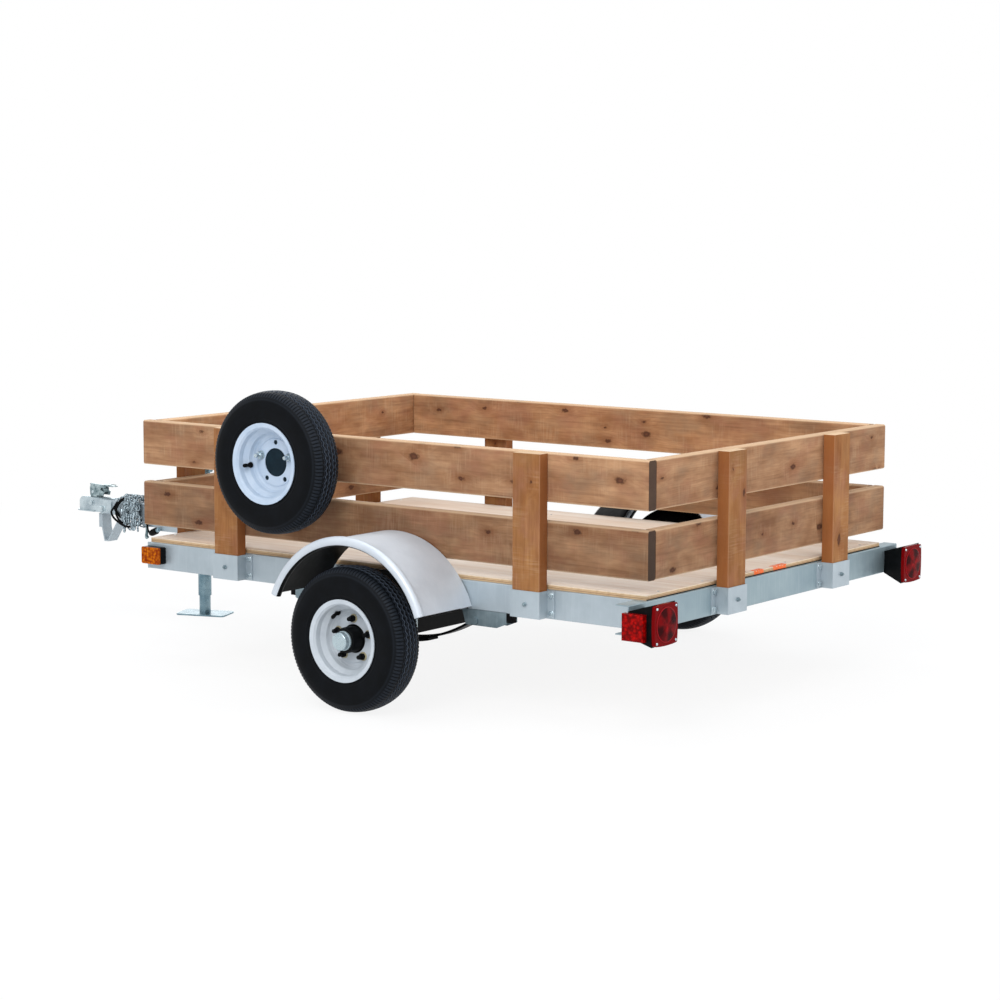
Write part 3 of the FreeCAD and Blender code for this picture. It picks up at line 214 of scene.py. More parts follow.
def from_axle(tree, where):
    """A point's offset from the axle's line, seen from the side."""
    axle = middle("axle_beam")
    offset = add(tree, "VectorMath", {0: where, 1: (axle[0], 0.0, axle[2])}, operation="SUBTRACT")
    return add(tree, "VectorMath", {0: offset, 1: (1.0, 0.0, 1.0)}, operation="MULTIPLY")


def fender_sheet():
    """Galvanised sheet, rolled round the wheel, its inner face painted near black as painted shade."""
    made, tree, shader, where, body = galvanised_steel("galvanised_fender", "cdd3da", "bac2ca", 0.3)
    outwards = add(tree, "VectorMath", {0: from_axle(tree, where)}, operation="NORMALIZE")
    normal = add(tree, "NewGeometry", output="Normal")
    lean = add(tree, "VectorMath", {0: outwards, 1: normal}, "Value", operation="DOT_PRODUCT")
    # Painted shade: the faces turned towards the axle are painted black
    shaded_inner_face = add(tree, "Math", {0: lean, 1: -0.7}, operation="LESS_THAN")
    paint_black_shade(tree, shader, body, shaded_inner_face)
    return made


def rail_steel():
    """Galvanised rail, its outer face inside the wheel's arch painted near black as painted shade."""
    made, tree, shader, where, body = galvanised_steel("galvanised_rail", "b4bfc6", "9ca8af")
    radius = add(tree, "VectorMath", {0: from_axle(tree, where)}, "Value", operation="LENGTH")
    low, high = span("fender_left")
    arch_radius = (high[0] - low[0]) / 2 - 4 * MM
    arch = add(tree, "Math", {0: radius, 1: arch_radius}, operation="LESS_THAN")
    # Painted shade: the rail's side faces inside the wheel's arch are painted black
    arch_shade = add(tree, "Math", {0: arch, 1: facing(tree, "Y", 0.5)}, operation="MULTIPLY")
    paint_black_shade(tree, shader, body, arch_shade)
    return made


def tube_steel():
    """Galvanised tube, darkened in patches where the chain is wound round it: grease, and painted shade of
    the chain.
    """
    made, tree, shader, where, body = galvanised_steel("galvanised_tube", "b2bdc4", "9ba7ae")
    low, high = span("safety_chain")
    rear, front, fade = low[0] - 6 * MM, high[0] - 24 * MM, 12 * MM
    along = add(tree, "SeparateXYZ", {"Vector": where}, "X")
    ends = [add(tree, "MapRange", {"Value": along, "From Min": at, "From Max": at + soft})
            for at, soft in ((rear, fade), (front, -fade))]
    wound = add(tree, "Math", {0: ends[0], 1: ends[1]}, operation="MULTIPLY")
    patchy = mottle(tree, where, 8, 0.1, 0.6)
    share = add(tree, "Math", {0: wound, 1: patchy}, operation="MULTIPLY")
    # Grease and painted shade: the tube is darkened in patches under the wound chain
    tree.links.new(layered(tree, body, (share, 0.9, "1b2a33")), shader.inputs["Base Color"])
    return made


def zinc_plate(name, light, dark, patch_mm=40.0, metallic=0.75, roughness=0.24):
    """Bright zinc plate on pressings, tube and chain: bluish, smooth, dulled in patches of patch_mm."""
    made, tree, shader, where = material(name, Metallic=metallic)
    cloud = mottle(tree, where, patch_mm, 0.36, 0.64)
    scuff = mottle(tree, where, 4, 0.55, 0.8)
    tone = layered(tree, dark, (cloud, 1.0, light), (scuff, 0.12, "7f8b92"))
    dress(tree, shader, tone, summed(tree, roughness, (scuff, 0.05), (cloud, 0.06)), scuff, 0.05, 0.05)
    return made


def softwood(name, light, warm, grey, deep, painted_narrow_share, narrow="dcbc98", rim_highlight_share=0.3, sawn_end="3d2f27"):
    """Sawn softwood under an oil stain: rings cut by the board's faces, knots, saw marks, dark end grain.

    The piece's own attributes give each point's place in its log, in metres (grain: along, across, through),
    how near it is to a sawn end (end), to an eased corner (edge) and to a narrow face (narrow), and the
    board's own tone, less a painted shade on the lower boards (tone). narrow is the colour of the narrow
    faces, a painted highlight where pale and a painted shade where darker; the eased corners take a pale
    painted highlight; sawn_end is the colour of the ends.
    """
    knot_cell = 170 * MM, 90 * MM
    ring, drift, bend = 5.5 * MM, 30 * MM, 12 * MM
    made, tree, shader, _ = material(name, Roughness=0.8, Specular_IOR_Level=0.2)
    grain = add(tree, "Attribute", output="Vector", attribute_name="grain")
    end, edge, side, tone = (add(tree, "Attribute", output="Fac", attribute_name=key)
                             for key in ("end", "edge", "narrow", "tone"))

    # A branch knot in every second cell or so, right through the board: a dark ring round a paler eye
    cells = add(tree, "Mapping", {"Vector": grain, "Scale": (1 / knot_cell[0], 1 / knot_cell[1], 1.0)})
    spots = add(tree, "TexVoronoi", {"Vector": cells, "Scale": 1.0}, "Distance", voronoi_dimensions="2D")
    own = add(tree, "SeparateColor", {"Color": spots.node.outputs["Color"]}).node.outputs
    reach = summed(tree, spots, (mottle(tree, grain, 9, 0.2, 0.8), 0.08))
    size = summed(tree, 0.06, (own[1], 0.08))
    ratio = add(tree, "Math", {0: reach, 1: size}, operation="DIVIDE")
    here = add(tree, "Math", {0: own[0], 1: 0.5}, operation="GREATER_THAN")
    eye, core, collar, bow = (
        add(tree, "MapRange", {"Value": ratio, "From Min": outer, "From Max": inner, "To Max": here})
        for outer, inner in ((0.85, 0.4), (1.25, 0.8), (3.0, 1.0), (4.5, 0.8)))

    # Growth rings: distance from the log's pith, bent by a slow drift along the board and by the knots
    flat = add(tree, "VectorMath", {0: grain, 1: (0.0, 1.0, 1.0)}, operation="MULTIPLY")
    pith = add(tree, "VectorMath", {0: flat}, "Value", operation="LENGTH")
    bent = summed(tree, pith, (mottle(tree, grain, 60, 0.0, 1.0, stretch=(7, 1, 1)), drift), (bow, bend))
    turns = add(tree, "Math", {0: bent, 1: ring}, operation="DIVIDE")
    late = add(tree, "ValToRGB", {"Fac": add(tree, "Math", {0: turns}, operation="FRACT")},
               stops=[(0.0, "202020"), (0.5, "303030"), (0.8, "d8d8d8"), (1.0, "202020")])

    # Stain that took unevenly, fibres, soft saw marks across the grain
    cloud = mottle(tree, grain, 55, 0.34, 0.66, stretch=(2.6, 1, 1))
    patch = mottle(tree, grain, 75, 0.46, 0.68, stretch=(1.5, 1, 1), shift=7.0)
    pink = mottle(tree, grain, 90, 0.48, 0.66, stretch=(1.3, 1, 1), shift=13.0)
    smoke = mottle(tree, grain, 95, 0.48, 0.72, stretch=(2.0, 1, 1), shift=17.0)
    fibre = mottle(tree, grain, 3.2, 0.4, 0.7, stretch=(26, 1, 1), detail=2.0)
    streak = mottle(tree, grain, 9, 0.48, 0.72, stretch=(22, 1, 1), shift=5.0)
    sawn = mottle(tree, grain, 4.5, 0.42, 0.68, stretch=(1, 14, 14), shift=3.0, detail=1.0)
    rough = mottle(tree, grain, 80, 0.46, 0.64, shift=21.0)
    torn = add(tree, "Math", {0: sawn, 1: rough}, operation="MULTIPLY")
    # Painted light: the narrow faces take the narrow colour, a pale painted highlight on the boards and a
    # darker painted shade on the stakes' sides; the eased corners take a pale painted highlight
    base = layered(tree, warm, (cloud, 1.0, light), (patch, 0.5, grey), (pink, 0.6, "9c6a50"),
                   (smoke, 0.42, deep), (late, 0.22, deep), (fibre, 0.16, deep), (streak, 0.3, deep),
                   (torn, 0.18, "c9a986"), (collar, 0.45, "74401f"), (core, 0.9, "3d2115"),
                   (eye, 0.5, "744630"), (side, painted_narrow_share, narrow), (edge, rim_highlight_share, "d9b896"),
                   (end, 0.92, sawn_end))
    lit = add(tree, "HueSaturation", {"Color": base, "Value": summed(tree, 0.9, (tone, 0.2))})
    dress(tree, shader, lit, None, summed(tree, 0.0, (fibre, -0.5), (late, 0.3), (torn, 0.5)), 0.3, 0.4)
    return made


def plywood():
    """Softwood plywood: pale face veneer with its grain along the trailer, darker plies at the edge."""
    made, tree, shader, where = material("plywood", Roughness=0.75, Specular_IOR_Level=0.2)
    fibre = mottle(tree, where, 4, 0.42, 0.7, stretch=(34, 1, 1))
    broad = mottle(tree, where, 16, 0.48, 0.72, stretch=(26, 1, 1), shift=3.0)
    rose = mottle(tree, where, 60, 0.45, 0.7, stretch=(6, 1, 1), shift=9.0)
    cloud = mottle(tree, where, 90, 0.35, 0.65, stretch=(5, 1, 1))
    face = layered(tree, "e2d3c2", (cloud, 1.0, "ece2d6"), (rose, 0.5, "dcc0a6"), (broad, 0.4, "c8a888"),
                   (fibre, 0.25, "c2a284"))
    low, high = span("deck")
    place = add(tree, "SeparateXYZ", {"Vector": where}).node.outputs
    height = add(tree, "MapRange", {"Value": place["Z"], "From Min": low[2], "From Max": high[2]})
    plies = add(tree, "ValToRGB", {"Fac": height},
                stops=[(0.0, "a98a68"), (0.2, "c9ad8a"), (0.38, "96724f"), (0.52, "cdb28f"), (0.68, "b3906a"),
                       (0.85, "d9c3a4"), (1.0, "e6d5bd")])
    ply = layered(tree, plies, (mottle(tree, where, 14, 0.5, 0.75), 0.35, "8c6b4a"))
    wood = layered(tree, ply, (facing(tree, "Z", 0.7), 1.0, face))
    rear = add(tree, "Math", {0: place["X"], 1: low[0] + 16 * MM}, operation="LESS_THAN")
    waxed = add(tree, "Math", {0: rear, 1: mottle(tree, where, 6, 0.3, 0.5)}, operation="MULTIPLY")
    for first, last in CRAYON_STROKES:
        reach = {0: place["Y"], 1: (first + last) / 2, 2: (last - first) / 2}
        stroke = add(tree, "Math", reach, operation="COMPARE")
        share = add(tree, "Math", {0: stroke, 1: waxed}, operation="MULTIPLY")
        wood = layered(tree, wood, (share, 0.95, "f2682a"))
    dress(tree, shader, wood, None, fibre, 0.25, 0.25)
    return made


def enamel(name, colour, patchy, roughness, coat, specular=0.4):
    """Stoved enamel on pressed or forged steel, dulled in slow patches."""
    made, tree, shader, where = material(name, Coat_Weight=coat, Coat_Roughness=0.12,
                                         Specular_IOR_Level=specular)
    cloud = mottle(tree, where, 45, 0.4, 0.75)
    fine = mottle(tree, where, 3, 0.3, 0.7)
    dress(tree, shader, layered(tree, colour, (cloud, 0.55, patchy)), summed(tree, roughness, (cloud, 0.12)),
          fine, 0.12, 0.2)
    return made


def moulded_black(name, colour, patchy, roughness, grit_mm):
    """Carbon-black rubber or moulded plastic with a fine grit and a little dust."""
    made, tree, shader, where = material(name, Specular_IOR_Level=0.06)
    dust = mottle(tree, where, 35, 0.45, 0.85)
    grit = mottle(tree, where, grit_mm, 0.3, 0.7, detail=2.0)
    dress(tree, shader, layered(tree, colour, (dust, 0.8, patchy)), summed(tree, roughness, (dust, 0.15)),
          grit, 0.15, 0.35)
    return made


def tyre_rubber():
    """Vulcanised black rubber, matt under a bluish bloom.

    The tyre's own attributes mark a painted highlight on the rims of its tread blocks and on its ribs
    (painted_highlight), and its grooves (groove), where a near-black painted shade is laid.
    """
    made, tree, shader, where = material("tyre_rubber", Roughness=0.5, Specular_IOR_Level=0.07)
    painted_highlight, groove = (add(tree, "Attribute", output="Fac", attribute_name=key) for key in ("painted_highlight", "groove"))
    bloom = mottle(tree, where, 40, 0.4, 0.75)
    grit = mottle(tree, where, 1.5, 0.3, 0.7, detail=2.0)
    # Painted highlight on the block rims and ribs, painted shade in the grooves
    colour = layered(tree, "07090c", (bloom, 0.7, "0c0f14"), (painted_highlight, 0.85, "555f6d"), (groove, 0.95, "020203"))
    dress(tree, shader, colour, None, grit, 0.12, 0.25)
    return made


def prismed_acrylic(name, deep, bright):
    """Moulded acrylic marker lens: a glossy skin over cast prisms that break the light up in blotches."""
    made, tree, shader, where = material(name, Roughness=0.14, Specular_IOR_Level=0.06)
    prism_mm = 9
    cells = add(tree, "Mapping", {"Vector": where, "Scale": (1 / (prism_mm * MM),) * 3})
    prism = add(tree, "TexVoronoi", {"Vector": cells, "Scale": 1.0, "Randomness": 0.8}, "Distance")
    glint = add(tree, "MapRange", {"Value": prism, "From Min": 0.75, "From Max": 0.25})
    shade = mottle(tree, where, 13, 0.4, 0.62)
    dress(tree, shader, layered(tree, deep, (glint, 0.9, bright), (shade, 0.7, deep)), None, prism, 0.3, 0.3)
    return made


def tail_lamp_acrylic():
    """Moulded acrylic tail lens: round ridges and a star of facets in its disc, a plain border round it."""
    made, tree, shader, where = material("red_acrylic_lens", Roughness=0.14, Specular_IOR_Level=0.03)
    disc, ridge, points = 45 * MM, 5 * MM, 4.0
    place = add(tree, "SeparateXYZ", {"Vector": where}).node.outputs
    aside = add(tree, "Math", {0: place[1]}, operation="ABSOLUTE")
    y = add(tree, "Math", {0: aside, 1: LENS_MIDDLE[1]}, operation="SUBTRACT")
    z = add(tree, "Math", {0: place[2], 1: LENS_MIDDLE[2]}, operation="SUBTRACT")
    flat = add(tree, "CombineXYZ", {"X": y, "Y": z})
    radius = add(tree, "VectorMath", {0: flat}, "Value", operation="LENGTH")
    turn = add(tree, "Math", {0: z, 1: y}, operation="ARCTAN2")
    turns = add(tree, "Math", {0: turn, 1: points}, operation="MULTIPLY")
    wave = add(tree, "Math", {0: turns}, operation="SINE")
    star = add(tree, "MapRange", {"Value": wave, "From Min": -0.6, "From Max": 0.6})
    steps = add(tree, "Math", {0: radius, 1: ridge}, operation="DIVIDE")
    rings = add(tree, "Math", {0: steps}, operation="FRACT")
    inside = add(tree, "MapRange", {"Value": radius, "From Min": disc, "From Max": disc - 1 * MM})
    bulb = add(tree, "MapRange", {"Value": radius, "From Min": 26 * MM, "From Max": 4 * MM})
    dim = mottle(tree, where, 28, 0.42, 0.6)
    facets = layered(tree, "300204", (star, 0.85, "7c060b"), (rings, 0.3, "500407"), (bulb, 0.6, "a00c12"),
                     (dim, 0.55, "200103"))
    # Painted highlight: a pale pink ring just outside the facetted disc
    lip = add(tree, "Math", {0: radius, 1: disc + 1 * MM, 2: 1 * MM}, operation="COMPARE")
    colour = layered(tree, "6c0407", (inside, 1.0, facets), (lip, 0.4, "b02c32"))
    cut = summed(tree, 0.0, (rings, 0.4), (star, 1.0))
    height = add(tree, "Math", {0: cut, 1: inside}, operation="MULTIPLY")
    dress(tree, shader, colour, None, height, 0.6, 0.5)
    return made


# Orange crayon left on the plywood's rear edge, from and to in Y
CRAYON_STROKES = ((0.040, 0.092), (-0.085, -0.012))

# The tan and brown woods' pale narrow colour is a painted highlight on the boards' narrow faces; the orange
# wood's darker one is a painted shade on the stakes' sides
TAN_WOOD = softwood("softwood_tan", "ba8f6a", "946a4a", "87705a", "66402a", 0.65)
BROWN_WOOD = softwood("softwood_brown", "be9068", "9c6c48", "8b735a", "603a25", 0.6)
ORANGE_WOOD = softwood("softwood_orange", "a67648", "8e5b32", "8a6540", "6b3c1e", 0.7, narrow="8c5228",
                       rim_highlight_share=0.12, sawn_end="d2b593")
GALVANISED = galvanised_steel("galvanised_steel", "b6c1c8", "a0acb3")[0]
# The rear rail's copy of the galvanised steel is darker than the side rails': painted shade on the rear face
SHADED_REAR_STEEL = galvanised_steel("galvanised_rear_rail_painted_shade", "9cadb2", "8296a0")[0]
HANGER_STEEL = galvanised_steel("galvanised_hanger", "93a3a9", "4e626b")[0]
RAIL_STEEL = rail_steel()
FENDER_SHEET = fender_sheet()
TUBE_STEEL = tube_steel()
ZINC = zinc_plate("zinc_plated_steel", "c2cfd4", "a3b1b8")
CAP_ZINC = zinc_plate("cap_zinc_steel", "b3c3c9", "a8b9c0")
BLUE_ZINC = zinc_plate("blue_zinc_steel", "869fa9", "627e8b")
LATCH_ZINC = zinc_plate("latch_zinc_steel", "a9babd", "4c646a", 14.0, 0.6)
# The chain's zinc is laid in near-black and bright patches of 4.5 mm: painted shade between the links and
# painted highlights on them
CHAIN_ZINC_PAINTED_LIGHT = zinc_plate("chain_zinc_painted_light", "c0d2da", "0e1d29", 4.5, 0.4, 0.18)
PLYWOOD = plywood()
WHITE = enamel("white_enamel", "bbc2c8", "a6aeb6", 0.36, 0.1)
PALE_BLUE_WHITE = enamel("aged_white_enamel", "b5c3d3", "94abc3", 0.38, 0.1)
BLACK_STEEL = enamel("black_enamel", "060708", "0f1012", 0.42, 0.0, 0.08)
YELLOW_ZINC = enamel("yellow_zinc_steel", "a8a081", "7a6a48", 0.35, 0.0)
TYRE_RUBBER = tyre_rubber()
BLACK_RUBBER = moulded_black("black_rubber", "070708", "141416", 0.6, 0.8)
BLACK_PLASTIC = moulded_black("black_moulded_plastic", "08090a", "17181b", 0.42, 0.6)
# Painted shade: the dark plate that fills the spare wheel's middle hole
SHADE_PLATE = moulded_black("painted_shade_plastic", "15222a", "1d2d36", 0.5, 0.6)
TAIL_LENS = tail_lamp_acrylic()
RED_LENS = prismed_acrylic("red_acrylic", "5e0203", "b30a06")
AMBER_LENS = prismed_acrylic("amber_acrylic", "7a2602", "cc6f04")

# The first finish of a slot is its plain one
FINISHES_OF_SLOT = {
    "galvanised_steel": (GALVANISED, SHADED_REAR_STEEL, RAIL_STEEL, FENDER_SHEET, TUBE_STEEL),
    "zinc_plated_steel": (ZINC, CAP_ZINC, BLUE_ZINC, LATCH_ZINC, CHAIN_ZINC_PAINTED_LIGHT, YELLOW_ZINC, HANGER_STEEL),
    "sawn_softwood": (TAN_WOOD, BROWN_WOOD, ORANGE_WOOD),
    "plywood": (PLYWOOD,),
    "black_enamelled_steel": (BLACK_STEEL,),
    "white_enamelled_steel": (WHITE, PALE_BLUE_WHITE),
    "tyre_rubber": (TYRE_RUBBER,),
    "black_rubber": (BLACK_RUBBER,),
    "black_moulded_plastic": (BLACK_PLASTIC, SHADE_PLATE),
    "red_lens_plastic": (RED_LENS, TAIL_LENS),
    "amber_lens_plastic": (AMBER_LENS,),
}
FINISH_OF_NODE = {
    "fender_left": FENDER_SHEET,
    "fender_right": FENDER_SHEET,
    "side_rail_left": RAIL_STEEL,
    "side_rail_right": RAIL_STEEL,
    # The rear rail takes the darker copy: painted shade on its rear face
    "rear_rail": SHADED_REAR_STEEL,
    "spring_hangers": HANGER_STEEL,
    "tongue_tube": TUBE_STEEL,
    "tongue_channel": TUBE_STEEL,
    "jack_tube": BLUE_ZINC,
    "jack_leg": BLUE_ZINC,
    "coupler_latch": LATCH_ZINC,
    "safety_chain": CHAIN_ZINC_PAINTED_LIGHT,
    "spare_carrier": BLACK_STEEL,
    "spare_rim": PALE_BLUE_WHITE,
    "tail_lamp_lenses": TAIL_LENS,
}


def finish_frame_nodes():
    """Give every CAD node its own finish, or that of its slot in the record."""
    slot_of = {row["node"]: row["material_slot"] for row in frame["record"]["subparts"]}
    for name, node in frame["nodes"].items():
        node.data.materials.clear()
        node.data.materials.append(FINISH_OF_NODE.get(name, FINISHES_OF_SLOT[slot_of[name]][0]))


# Meshes

def grid_faces(rows, columns, close_rows, close_columns, first):
    """Corner numbers of the cells of a grid, its last row or column joined to its first where it closes."""
    i = np.arange(rows if close_rows else rows - 1)[:, None]
    j = np.arange(columns if close_columns else columns - 1)[None, :]
    ii, jj = (i + 1) % rows, (j + 1) % columns
    corners = [i * columns + j, ii * columns + j, ii * columns + jj, i * columns + jj]
    return first + np.stack([c + 0 * (i + j) for c in corners], -1).reshape(-1, 4)


def placed(name, data):
    """New object in the scene, out of its data."""
    made = bpy.data.objects.new(name, data)
    bpy.context.scene.collection.objects.link(made)
    return made


def piece(name, grids, finish, body="root", replaces=(), sharp=32.0, attributes=None):
    """One mesh out of grids (points, rows close, columns close).

    Equal points are merged and faces turned outwards, and the finish is its material. attributes maps a name
    to its kind and to its values, an array for each grid.
    """
    points = np.concatenate([g[0].reshape(-1, 3) for g in grids])
    faces, first = [], 0
    for grid, close_rows, close_columns in grids:
        faces.append(grid_faces(*grid.shape[:2], close_rows, close_columns, first))
        first += grid[..., 0].size
    same = 0.002 * MM
    keys = np.round(points / same).astype(np.int64)
    _, owner, order = np.unique(keys, axis=0, return_index=True, return_inverse=True)
    loops = [list(dict.fromkeys(face)) for face in order.reshape(-1)[np.concatenate(faces)].tolist()]
    mesh = bpy.data.meshes.new(name)
    mesh.from_pydata(points[owner].tolist(), [], [loop for loop in loops if len(loop) > 2])
    for key, (kind, values) in (attributes or {}).items():
        vector = kind == "FLOAT_VECTOR"
        flat = np.concatenate([v.reshape(-1, 3) if vector else v.reshape(-1) for v in values])
        layer = mesh.attributes.new(key, kind, "POINT")
        layer.data.foreach_set("vector" if vector else "value", flat[owner].astype(np.float32).ravel())
    work = bmesh.new()
    work.from_mesh(mesh)
    bmesh.ops.recalc_face_normals(work, faces=work.faces)
    work.to_mesh(mesh)
    work.free()
    mesh.polygons.foreach_set("use_smooth", np.ones(len(mesh.polygons), bool))
    mesh.set_sharp_from_angle(angle=np.radians(sharp))
    mesh.materials.append(finish)
    made = placed(name, mesh)
    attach(made, body)
    if replaces:
        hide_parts(*replaces)


def curve(points, steps):
    """Catmull-Rom curve through points, steps samples a span, as rows."""
    p = np.asarray(points, float)
    p = np.vstack([2 * p[0] - p[1], p, 2 * p[-1] - p[-2]])
    t = np.linspace(0, 1, steps, endpoint=False)[None, :, None]
    a, b, c, d = (p[k:len(p) - 3 + k, None, :] for k in range(4))
    body = 0.5 * (2 * b + (c - a) * t + (2 * a - 5 * b + 4 * c - d) * t ** 2
                  + (3 * b - a - 3 * c + d) * t ** 3)
    return np.vstack([body.reshape(-1, p.shape[1]), p[-2:-1]])


def stand(profile, origin, direction, sides, turn=0.0):
    """Profile of (radius, height) in mm turned round a direction from origin, its ends closed to the axis."""
    d = np.asarray(direction, float) / np.linalg.norm(direction)
    aside = np.array([0.0, 0, 1]) if abs(d[2]) < 0.9 else np.array([1.0, 0, 0])
    aside = aside - d * (aside @ d)
    aside = aside / np.linalg.norm(aside)
    profile = np.asarray(profile, float) * MM
    profile = np.vstack([profile[:1] * (0, 1), profile, profile[-1:] * (0, 1)])
    angle = (np.linspace(0, 2 * np.pi, sides, endpoint=False) + turn)[:, None]
    r, h = profile[None, :, 0], profile[None, :, 1]
    local = np.stack([r * np.cos(angle), r * np.sin(angle), h + 0 * angle], -1)
    return np.asarray(origin) + local @ np.stack([aside, np.cross(d, aside), d]), True, False


def nut(origin, direction, flats, height, turn):
    """Hexagonal nut or head: a six-sided profile with a narrowed top edge."""
    r = flats / np.sqrt(3)
    return stand([(r, 0), (r, height * 0.82), (r * 0.86, height)], origin, direction, 6, turn)


def button(origin, direction, width, height, sides=16):
    """Round head: a quarter of a circle turned round."""
    t = np.linspace(0, np.pi / 2, 6)
    dome = [(width / 2 * np.cos(a), height * (0.25 + 0.75 * np.sin(a))) for a in t]
    return stand([(width / 2, 0), *dome], origin, direction, sides)


# Wood

# Painted shade: how much the lower boards' tone is lowered
LOWER_BOARD_PAINTED_SHADE = 0.95


def board_section(width, thickness, radius, steps=5):
    """Rounded rectangle, corner by corner, as (across, through), and a mark of 1 on its rounded corners."""
    t = np.linspace(0, np.pi / 2, steps)
    corners, mark = [], []
    for k, (sx, sy) in enumerate(((1, 1), (-1, 1), (-1, -1), (1, -1))):
        a = t + k * np.pi / 2
        corners.append(np.stack([sx * (width / 2 - radius) + radius * np.cos(a),
                                 sy * (thickness / 2 - radius) + radius * np.sin(a)], -1))
        mark.append(np.sin(2 * t) ** 0.5)
    return np.concatenate(corners), np.concatenate(mark)


def board(low, high, axis, radius_mm):
    """A sawn board or post between two corners, long along the axis: a rounded section carried to flat ends.

    Its grid has a row for each place along it. Its wood is marked at each point: the place in the log, whose
    pith lies off the board's face and drifts along it, so that the face cuts the rings at a slant. The lower
    boards get a painted shade in their tone.
    """
    size, centre = high - low, (low + high) / 2
    wide, thin = [k for k in np.argsort(-size) if k != axis]
    section, mark = board_section(size[wide], size[thin], radius_mm * MM)
    places, ease = 34, 1.2 * MM
    u = np.linspace(-0.5, 0.5, places) * size[axis]
    u = np.concatenate([[u[0], u[0], u[0] + ease * 0.3], u[1:-1], [u[-1] - ease * 0.3, u[-1], u[-1]]])
    shrink = np.zeros(len(u))
    shrink[[1, -2]] = ease
    full = np.ones(len(u))
    full[[0, -1]] = 0.0
    v, w = (section[:, k] * (full * (1 - 2 * shrink / size[side]))[:, None]
            for k, side in enumerate((wide, thin)))
    along = u[:, None] + 0 * v
    points = np.zeros((*v.shape, 3))
    points[..., axis], points[..., wide], points[..., thin] = along, v, w
    pith = rng.uniform(-0.03, 0.03), rng.uniform(0.03, 0.09) * rng.choice([-1, 1])
    slope = rng.uniform(-0.02, 0.02, 2)
    grain = np.stack([along + rng.uniform(0, 40), v - pith[0] + slope[0] * along,
                      w - pith[1] + slope[1] * along], -1)
    end = np.zeros_like(v)
    end[:2] = end[-2:] = 1.0
    edge = np.broadcast_to(mark[None, :], v.shape) * (1 - end)
    narrow = (np.abs(section[:, 0]) > size[wide] / 2 - 0.6 * radius_mm * MM)[None, :] * (1 - end)
    # Painted shade on the lower boards, taken off their tone
    darker = LOWER_BOARD_PAINTED_SHADE * (axis != 2 and low[2] < BOARDS_MIDDLE_Z)
    marks = {"grain": grain, "end": end, "edge": edge, "narrow": narrow,
             "tone": np.full_like(v, rng.uniform(0, 1) - darker)}
    return (points + centre, False, True), marks


def timbers(node, axis, radius_mm, wood, cut_mm=0):
    """The boards or stakes of a CAD node, cut short at the top."""
    cut = np.array((0, 0, cut_mm * MM))
    made = [board(low, high - cut, axis, radius_mm) for low, high in solids_of(node)]
    values = {key: ("FLOAT_VECTOR" if key == "grain" else "FLOAT", [marks[key] for _, marks in made])
              for key in made[0][1]}
    piece("wood_" + node, [grid for grid, _ in made], wood, replaces=(node,), sharp=40.0, attributes=values)


def sides():
    """Boards of the four sides, and their stakes, which stand a little below the boards' tops."""
    timbers("boards_left", 0, 6.0, TAN_WOOD)
    timbers("boards_right", 0, 6.0, BROWN_WOOD)
    timbers("boards_front", 1, 6.0, BROWN_WOOD)
    timbers("boards_rear", 1, 6.0, TAN_WOOD)
    for side, cut_mm in (("left", 4), ("right", 10), ("front", 10), ("rear", 4)):
        timbers("stakes_" + side, 2, 3.0, ORANGE_WOOD, cut_mm)


# Wheels, in millimetres

TYRE_RADIUS = (span("tyre_left")[1][2] - span("tyre_left")[0][2]) / 2 / MM
TREAD_HALF = 29.0
TREAD_CROWN = 3.0
GROOVE_LINES = (-20.5, -7.2, 7.2, 20.5)
GROOVE_HALF = 2.6
GROOVE_DEPTH = 6.0
ZIGZAG = 2.4
SHOULDER_RADIUS = 186.0
SHOULDER_SLOT_DEPTH = 1.2
WALL_RIB_RADIUS = 182.0
BOLT_ANGLES = np.radians(90 + 72 * np.arange(5))
BOLT_RADIUS = 57.15


